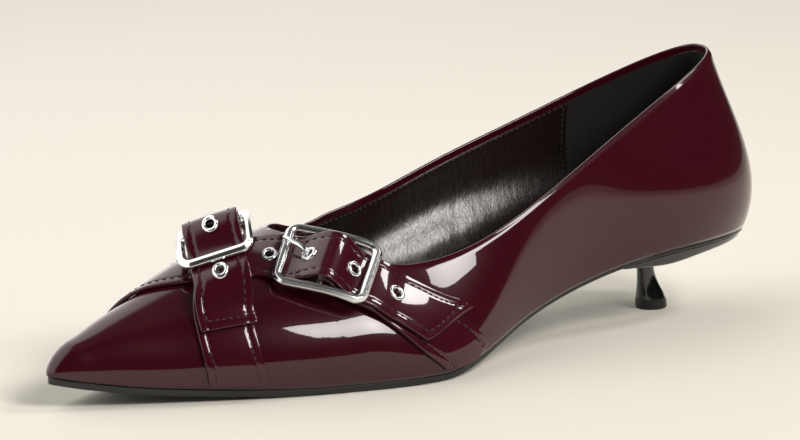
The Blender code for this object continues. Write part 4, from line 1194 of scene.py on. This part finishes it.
def turned_on_strap(fastening, u, profile, turns):
    """Rings of a turned profile of (radius, height), square to the long strap's top at u."""
    around = full_turn(turns) + 0.13
    slope = math.atan(fastening.slope(u))
    top = float(fastening.long_strap(u)) + STRAP_THICK
    reach = np.linspace(-1, 1, 9) * EYELET_OUTER / 2 * math.cos(slope)
    swell = fastening.long_strap(u + reach) + STRAP_THICK - top - reach * math.tan(slope)
    top += float(np.max(swell))
    radius, height = (np.array(column)[:, None] for column in zip(*profile))
    along = radius * np.cos(around)
    u_ring = u + along * math.cos(slope) - height * math.sin(slope)
    h_ring = top + along * math.sin(slope) + height * math.cos(slope)
    c_ring = radius * np.sin(around) + float(fastening.drift(u))
    return fastening.path.place(u_ring, c_ring, h_ring + fastening.stand_off(u_ring, c_ring))


def make_straps(name):
    """Short and long strap of one fastening."""
    fastening = FASTENINGS[name]
    short = strap_grid(fastening, -0.4 * MM, None, fastening.anchor, np.zeros_like, 60)
    long_one = strap_grid(fastening, None, fastening.end, fastening.long_strap,
                          fastening.drift, 150)
    mesh = build_mesh("short_strap_" + name, capped_tube(short), sharp=50)
    add_piece("short_strap_" + name, mesh, (STRAP_LEATHER,), "strap_%s_anchor" % name)
    whole = build_mesh("long_strap_" + name, capped_tube(long_one))
    mesh = pierced("long_strap_" + name, whole, fastening)
    mesh.shade_smooth()
    mesh.set_sharp_from_angle(angle=math.radians(50))
    add_piece("long_strap_" + name, mesh, (STRAP_LEATHER,), "strap_" + name)


for name in ROUTES:
    make_straps(name)

# %% [markdown]
# ## Eyelets
# An eyelet is a turned brass ring: a barrel through the hole and a rim rolled over on top.
# Its profile, spun round the hole's axis, gives the whole ring.

# %% Eyelets


def make_eyelets(name):
    """Rings at every hole of one strap; the profile is a barrel and a half-round rim."""
    fastening = FASTENINGS[name]
    inner = EYELET_HOLE / 2
    outer = EYELET_OUTER / 2
    turn = np.linspace(math.pi, 0, 13)
    middle = (inner + outer) / 2
    reach = (outer - inner) / 2
    rim = [(middle + reach * math.cos(one), 0.02 * MM + 0.62 * MM * math.sin(one)) for one in turn]
    barrel = [(inner + EYELET_WALL, -0.1 * MM), (inner + EYELET_WALL, -STRAP_THICK)]
    profile = [(inner, -STRAP_THICK)] + rim + barrel + [(inner, -STRAP_THICK)]
    for number, u in enumerate(fastening.holes()):
        grid = turned_on_strap(fastening, u, profile, 44)
        label = "eyelet_%s_%d" % (name, number + 1)
        add_piece("ring_%s_%d" % (name, number + 1), build_mesh(label, [(grid, True, 0)], sharp=60),
                  (NICKEL,), label)


for name in ROUTES:
    make_eyelets(name)

# %% [markdown]
# ## Buckles
# The frame is cast with broad bevels and then polished, which gives the bright flat bands
# that the eye reads as metal. An eight-cornered section follows a rounded rectangle, the
# whole frame is arched over the foot, and a round bar crosses its middle.

# %% Buckle frames


def frame_line():
    """Middle line of the frame: a rectangle with round corners, with points along the sides."""
    length = BUCKLE_LENGTH - BAR_WIDTH
    width = BUCKLE_WIDTH - BAR_WIDTH
    radius = CORNER_ROUND - BAR_WIDTH / 2
    points = []
    corners = ((1, 1), (-1, 1), (-1, -1), (1, -1))
    for quarter, (along, across) in enumerate(corners):
        turn = np.linspace(quarter, quarter + 1, 12) * math.pi / 2
        corner = np.stack((along * (length / 2 - radius) + radius * np.cos(turn),
                           across * (width / 2 - radius) + radius * np.sin(turn)), axis=1)
        ahead = corners[(quarter + 1) % 4]
        turn = (quarter + 1) * math.pi / 2
        start = np.array((ahead[0] * (length / 2 - radius) + radius * math.cos(turn),
                          ahead[1] * (width / 2 - radius) + radius * math.sin(turn)))
        share = np.linspace(0, 1, 12)[1:-1, None]
        points += [corner, corner[-1] + (start - corner[-1]) * share]
    return np.concatenate(points)


def make_buckle(name):
    """Bevelled frame and centre bar of one buckle."""
    fastening = FASTENINGS[name]
    line = frame_line()
    ahead = unit(np.roll(line, -1, axis=0) - np.roll(line, 1, axis=0))
    out = np.stack((ahead[:, 1], -ahead[:, 0]), axis=1)
    across = np.array((0.6, 0.6, 0.26, -0.12, -0.42, -0.5, -0.5, -0.42, 0.42)) * BAR_WIDTH
    rise = np.array((-0.3, 0.08, 0.5, 0.5, 0.24, 0.1, -0.42, -0.5, -0.5)) * BAR_HEIGHT
    flat = line[:, None, :] + out[:, None, :] * across[None, :, None]
    height = fastening.buckle(line[:, :1] + 0 * across[None, :]) + rise[None, :]
    height = height + fastening.stand_off(flat[..., 0], flat[..., 1])
    grid = fastening.path.place(flat[..., 0], flat[..., 1], height)
    grid = np.concatenate((grid, grid[:1]))
    reach = BUCKLE_WIDTH / 2 - BAR_WIDTH * 0.6
    around = full_turn(20)
    c = np.linspace(-reach, reach, 12)[:, None] + 0 * around
    u = CENTRE_BAR / 2 * np.cos(around) + 0 * c
    h = float(fastening.buckle(0.0)) + CENTRE_BAR / 2 * np.sin(around) + fastening.stand_off(u, c)
    bar = fastening.path.place(u, c, h)
    mesh = build_mesh("frame_" + name, [(grid, True, 0)] + capped_tube(bar), sharp=24)
    piece = add_piece("frame_" + name, mesh, (NICKEL,), "buckle_" + name)
    edge = piece.modifiers.new("polish", "BEVEL")
    edge.width = 0.12 * MM
    edge.segments = 2
    edge.angle_limit = math.radians(24)
    return piece


for name in ROUTES:
    make_buckle(name)

# %% [markdown]
# ## Prongs
# The prong turns round the centre bar, comes up through its hole and rests on the far bar.
# A round rod follows a smooth curve through a few points, thins towards the tip, and the
# tip bends down a little over the bar.

# %% Prongs


def make_prong(name):
    """Rod from beside the centre bar through the hole to the far bar."""
    fastening = FASTENINGS[name]
    hole = fastening.holes()[1]
    slope = math.atan(fastening.slope(hole))
    top = float(fastening.long_strap(hole)) + STRAP_THICK
    far = -(BUCKLE_LENGTH - BAR_WIDTH) / 2
    rest = float(fastening.buckle(far)) + BAR_HEIGHT / 2 + 0.1 * MM + PRONG / 2
    start = -(CENTRE_BAR / 2 + CLEARANCE + PRONG / 2)
    level = float(fastening.buckle(0.0))
    guide = np.array((
        (start, level - 0.2 * MM),
        (hole + 2.6 * MM * math.sin(slope), top - 2.9 * MM * math.cos(slope)),
        (hole, top - STRAP_THICK / 2),
        (hole - 0.9 * MM * math.sin(slope), top + 0.9 * MM * math.cos(slope)),
        ((hole + far) / 2 - 1.0 * MM, rest + 0.5 * MM),
        (far - BAR_WIDTH * 0.2, rest),
        (far - BAR_WIDTH * 0.62, rest - 0.7 * MM),
    ))
    step = run_along(guide)
    where = np.linspace(0, step[-1], 40)
    line = np.stack((spline(step, guide[:, 0], where), spline(step, guide[:, 1], where)), axis=1)
    ahead = unit(np.gradient(line, axis=0))
    around = full_turn(20)
    thin = 1 - 0.25 * smooth_step(where, 0.5 * step[-1], step[-1])
    thin[-3:] *= (0.92, 0.7, 0.3)
    radius = (PRONG / 2 * thin)[:, None]
    lean = BUCKLES[name]["lean"] * np.clip((line[:, :1] - hole) / (far - hole), 0, 1.2)
    u = line[:, :1] - ahead[:, 1:] * radius * np.cos(around)
    c = 1.45 * radius * np.sin(around) + lean
    h = line[:, 1:] + ahead[:, :1] * radius * np.cos(around) + fastening.stand_off(u, c)
    rod = fastening.path.place(u, c, h)
    mesh = build_mesh("tongue_" + name, capped_tube(rod), sharp=60)
    return add_piece("tongue_" + name, mesh, (NICKEL,), "prong_" + name)


for name in ROUTES:
    make_prong(name)

# %% [markdown]
# ## Stitches
# A lockstitch shows as short rounded threads, each diving into the leather at both ends.
# One thread is five rings of six points. Every seam asks for the same thread at its own
# stations, so whole seams are worked out as one array.

# %% Stitch helper


def threads(middle, up, radius=0.27 * MM):
    """Short tubes along a seam: middle is (n, 5, 3), the five ring centres of each thread.

    The rings are ellipses, thin at both ends, square to the thread.
    """
    ahead = unit(middle[:, -1] - middle[:, 0])[:, None, None, :]
    up = unit(across_of(up, ahead[:, 0, 0]))[:, None, None, :]
    side = np.cross(ahead, up)
    around = full_turn(6)[None, None, :, None]
    size = (radius * np.array((0.35, 0.85, 1.0, 0.85, 0.35)))[None, :, None, None]
    return middle[:, :, None, :] + size * (side * np.cos(around) + 0.8 * up * np.sin(around))


def threads_mesh(name, tubes):
    """One mesh of many threads: rings joined along each thread, both ends closed by a point."""
    count, rings, sides = tubes.shape[:3]
    ends = tubes[:, (0, -1)].mean(axis=2, keepdims=True)
    first = np.broadcast_to(ends[:, :1], (count, 1, sides, 3))
    last = np.broadcast_to(ends[:, 1:], (count, 1, sides, 3))
    grid = np.concatenate((first, tubes, last), axis=1)
    rows = rings + 2
    quads = grid_quads(rows, sides, True)
    faces = (quads[None] + (np.arange(count) * rows * sides)[:, None, None]).reshape(-1, 4)
    mesh = bpy.data.meshes.new(name)
    mesh.from_pydata((grid.reshape(-1, 3) + SHIFT).tolist(), [], faces.tolist())
    clean_up(mesh, 0.002 * MM, 0.001 * MM)
    return mesh


HALF_THREAD = 0.78 * MM
STEPS = np.array((-1.0, -0.6, 0.0, 0.6, 1.0))
DIVE = np.array((-0.22, 0.0, 0.1, 0.0, -0.22)) * MM
THREAD_LIFT = 0.08 * MM
INNER_LIFT = 0.05 * MM

# %% Stitches on the straps


def evenly(start, end, count):
    """Middles of the count equal shares from start to end."""
    return start + (np.arange(count) + 0.5) * (end - start) / count


def strap_seam(fastening, layer, drift, start, end, c):
    """Threads along a strap at c across it, from start to end."""
    count = max(int((end - start) / STITCH_PITCH), 1)
    middles = evenly(start, end, count)
    u = middles[:, None] + STEPS * HALF_THREAD
    flat = u.reshape(-1)
    lift = layer(flat) + STRAP_THICK - GROOVE + THREAD_LIFT + np.tile(DIVE, count)
    across = np.full(flat.shape, c) + drift(flat)
    points = strap_point(fastening, flat, across, lift).reshape(count, 5, 3)
    return points, fastening.path.frame(middles)[3]


def end_seam(fastening):
    """Threads across the long strap's free end."""
    half = STRAP_WIDTH / 2 - STITCH_IN
    count = int(2 * half / STITCH_PITCH)
    middles = evenly(-half, half, count)
    c = (middles[:, None] + STEPS * HALF_THREAD).reshape(-1)
    u = fastening.end + fastening.cut(c) - STITCH_IN
    lift = fastening.long_strap(u) + STRAP_THICK - GROOVE + THREAD_LIFT + np.tile(DIVE, count)
    points = strap_point(fastening, u, c + fastening.drift(u), lift).reshape(count, 5, 3)
    return points, np.broadcast_to(fastening.path.frame(fastening.end)[3], (count, 3))


def make_strap_stitches(name):
    """All seams of one fastening as one piece."""
    fastening = FASTENINGS[name]
    path = fastening.path
    seam = STRAP_WIDTH / 2 - STITCH_IN
    parts = []
    for c in (-seam, seam):
        foot_far = foot_of(path, c, False, path.middle - path.s[-1])
        foot_near = foot_of(path, c, True, path.middle)
        parts.append(strap_seam(fastening, fastening.long_strap, fastening.drift, foot_far + 1 * MM,
                                fastening.end + fastening.cut(c) - STITCH_IN, c))
        parts.append(strap_seam(fastening, fastening.anchor, np.zeros_like, 4 * MM,
                                foot_near - 0.6 * MM, c))
    parts.append(end_seam(fastening))
    tubes = np.concatenate([threads(points, up) for points, up in parts])
    mesh = threads_mesh("strap_stitches_" + name, tubes)
    print("strap", name, "stitches:", len(tubes))
    return add_piece("strap_stitches_" + name, mesh, (THREAD,))


for name in ROUTES:
    make_strap_stitches(name)

# %% [markdown]
# ## Seams of the lining
# Inside the opening, a row of stitches holds the folded edge to the lining, 2.7 mm below
# it, and a short row runs down where the heel grip overlaps the lining.

# %% Lining seams
SEAM_START = 6 * MM
SEAM_DOWN = FOLD + 0.7 * MM
GRIP_SEAM = (4.0 * MM, 44 * MM)
GRIP_SEAM_IN = 1.2 * MM


def inner_point(side, q, down, lift):
    """Point on the inner face, a distance down from the edge and lifted off the face."""
    steps = upper_skin(side, q[:, None], np.linspace(0, 1, 30)[None, :])
    length = np.sum(np.linalg.norm(np.diff(steps, axis=1), axis=2), axis=1)
    v = 1 - down / length
    normal = skin_normal(side, q, v)
    face = upper_skin(side, q, v)
    wall = wall_at(v) + LINING_STEP + lining_swell(q, face)
    return face - normal * (wall + lift)[:, None], -normal


def inner_threads(side, q, down, count):
    """Threads on the inner face, from the stations and depths of their ring centres."""
    points, normal = inner_point(side, q, down, np.tile(DIVE, count) + INNER_LIFT)
    return threads(points.reshape(count, 5, 3), normal.reshape(count, 5, 3)[:, 2])


def edge_seam(side):
    """Threads along the inner face at a fixed distance below the folded edge."""
    q = np.linspace(THROAT + SEAM_START, GRIP_FROM, 400)
    line, _ = inner_point(side, q, np.full(q.shape, SEAM_DOWN), np.zeros(q.shape))
    run = run_along(line)
    count = int(run[-1] / STITCH_PITCH)
    middles = evenly(0, run[-1], count)
    at = np.interp((middles[:, None] + STEPS * HALF_THREAD).reshape(-1), run, q)
    return inner_threads(side, at, np.full(at.shape, SEAM_DOWN), count)


def grip_seam(side):
    """Threads down the front edge of the heel grip."""
    down = np.arange(*GRIP_SEAM, STITCH_PITCH)
    q = np.full(len(down) * 5, GRIP_FROM - GRIP_SEAM_IN)
    return inner_threads(side, q, (down[:, None] + STEPS * HALF_THREAD).reshape(-1), len(down))


seams = [seam(side) for seam in (edge_seam, grip_seam) for side in (NEAR, FAR)]
mesh = threads_mesh("lining_stitches", np.concatenate(seams))
add_piece("lining_stitches", mesh, (INNER_THREAD,))

# %% [markdown]
# ## Stage
# The shoe stands on a cream floor whose colour holds a painted shade, a little darker towards
# the front. The picture was taken a little above the shoe with a long lens: the camera's place
# and tilt were worked out from the shoe's own lines.

# %% Floor and camera


def make_floor():
    """Large flat square at floor level, matt and cream, with a painted shade that makes it a
    little darker towards the front.

    The painted shade is a ramp of the distance along one level direction. It evens out the key's
    light.
    """
    half = 6.0
    mesh = bpy.data.meshes.new("floor")
    mesh.from_pydata([(-half, -half, 0), (half, -half, 0), (half, half, 0), (-half, half, 0)], [],
                     [(0, 1, 2, 3)])
    floor = bpy.data.objects.new("floor", mesh)
    bpy.context.scene.collection.objects.link(floor)
    made, tree, shader, place = start_finish("matt_paper_painted_shade", {
        "Roughness": 1.0, "Specular IOR Level": 0.0,
    })
    along = add_node(tree, "ShaderNodeVectorMath", {"operation": "DOT_PRODUCT"})
    tree.links.new(place, along.inputs[0])
    along.inputs[1].default_value = (0.28, -0.96, 0.0)
    shade = add_node(tree, "ShaderNodeMapRange", {"From Min": -0.42, "From Max": 0.14},
                     Value=along.outputs["Value"])
    # painted shade: the cream turns greyer towards the front, to even out the key's stronger light
    # there
    painted_shade_paper = add_node(tree, "ShaderNodeMix", {"data_type": "RGBA"})
    painted_shade_paper.inputs[6].default_value = linear("#F2EFE6")
    painted_shade_paper.inputs[7].default_value = linear("#D7D4C9")
    tree.links.new(shade.outputs["Result"], painted_shade_paper.inputs[0])
    tree.links.new(painted_shade_paper.outputs[2], shader.inputs["Base Color"])
    mesh.materials.append(made)
    return floor


AZIMUTH = math.radians(35.1363753)
ELEVATION = math.radians(12.5255147)
ROLL = math.radians(-0.423442916)
DISTANCE = 1911.09536 * MM
PIXELS_PER_MM = 3.15734052
AIM_PIXEL = np.array((397.546602, 257.744452))
AIM = np.array((131.0, 0.0, 30.0)) * MM + SHIFT
PICTURE = np.array((800, 440))


def make_camera():
    """Camera on a sphere round the aim point. Its axis passes beside that point, by whole pixels.

    The focal length in pixels is pixels-per-mm times distance in mm.
    """
    a, e = AZIMUTH, ELEVATION
    back = np.array((-math.sin(a) * math.cos(e), -math.cos(a) * math.cos(e), math.sin(e)))
    right = np.array((math.cos(a), -math.sin(a), 0.0))
    up = np.array((math.sin(a) * math.sin(e), math.cos(a) * math.sin(e), math.cos(e)))
    right, up = (math.cos(ROLL) * right + math.sin(ROLL) * up,
                 -math.sin(ROLL) * right + math.cos(ROLL) * up)
    place = AIM + back * DISTANCE
    lens = bpy.data.cameras.new("long_lens")
    lens.sensor_width = 36.0
    lens.lens = PIXELS_PER_MM * (DISTANCE / MM) * 36.0 / PICTURE[0]
    lens.clip_end = 30.0
    lens.shift_x = (PICTURE[0] / 2 - AIM_PIXEL[0]) / PICTURE[0]
    lens.shift_y = (AIM_PIXEL[1] - PICTURE[1] / 2) / PICTURE[0]
    camera = bpy.data.objects.new("camera", lens)
    turn = np.stack((right, up, back), axis=1)
    whole = np.eye(4)
    whole[:3, :3] = turn
    whole[:3, 3] = place
    camera.matrix_world = Matrix(whole.tolist())
    bpy.context.scene.collection.objects.link(camera)
    bpy.context.scene.camera = camera
    print("camera at", np.round(place, 4), "lens in mm:", round(lens.lens, 1))
    return camera


floor = make_floor()
camera = make_camera()

# %% [markdown]
# ## Light
# Shiny leather shows its lights as shapes. Soft boxes stand round the shoe where the
# picture's highlights point to, and a dim room keeps the rest of the leather dark.

# %% Soft boxes and room
BOX_SPREAD = math.radians(70)
BOX_COLOUR = "#FFFAF7"


def soft_box(name, place, aim, size, power):
    """Rectangular area light at a place, facing the aim point.

    Its grid keeps the light within half of BOX_SPREAD of its axis, off the rest of the floor.
    """
    light = bpy.data.lights.new(name, "AREA")
    light.shape = "RECTANGLE"
    light.size, light.size_y = size
    light.spread = BOX_SPREAD
    light.energy = power
    light.color = linear(BOX_COLOUR)[:3]
    box = bpy.data.objects.new(name, light)
    way = Vector(aim) - Vector(place)
    box.matrix_world = Matrix.Translation(place) @ way.to_track_quat("-Z", "Y").to_matrix().to_4x4()
    bpy.context.scene.collection.objects.link(box)
    return box


soft_box("key", (0.41, -1.64, 1.31), (0.0, -0.02, 0.04), (1.01, 0.81), 6.5)
soft_box("fill", (1.01, -0.41, 1.13), (0.0, 0.0, 0.04), (0.40, 0.36), 1.15)


def make_room():
    """Room light: bright cream behind and left of the shoe, dim in front and overhead.

    Its strength depends on the direction only: the share along the bright side's axis and
    the height each pass through a smooth ramp.
    """
    world = bpy.data.worlds.new("room")
    world.use_nodes = True
    tree = world.node_tree
    way = add_node(tree, "ShaderNodeTexCoord").outputs["Generated"]
    toward = add_node(tree, "ShaderNodeVectorMath", {"operation": "DOT_PRODUCT"})
    tree.links.new(way, toward.inputs[0])
    toward.inputs[1].default_value = (-0.50, 0.86, 0.0)
    side = add_node(tree, "ShaderNodeMapRange",
                    {"interpolation_type": "SMOOTHSTEP", "From Min": 0.1, "From Max": 0.32,
                     "To Min": 0.015, "To Max": 1.6}, Value=toward.outputs["Value"])
    height = add_node(tree, "ShaderNodeSeparateXYZ", Vector=way)
    top = add_node(tree, "ShaderNodeMapRange",
                   {"interpolation_type": "SMOOTHSTEP", "From Min": 0.93, "From Max": 0.99},
                   Value=height.outputs["Z"])
    both = add_node(tree, "ShaderNodeMix", {"data_type": "FLOAT"})
    tree.links.new(top.outputs["Result"], both.inputs[0])
    tree.links.new(side.outputs["Result"], both.inputs[2])
    both.inputs[3].default_value = 0.12
    light = tree.nodes["Background"]
    light.inputs["Color"].default_value = linear("#FBF8F4")
    tree.links.new(both.outputs[0], light.inputs["Strength"])
    return world


world = make_room()
bpy.context.scene.world = world
bpy.context.scene.view_settings.view_transform = "Standard"
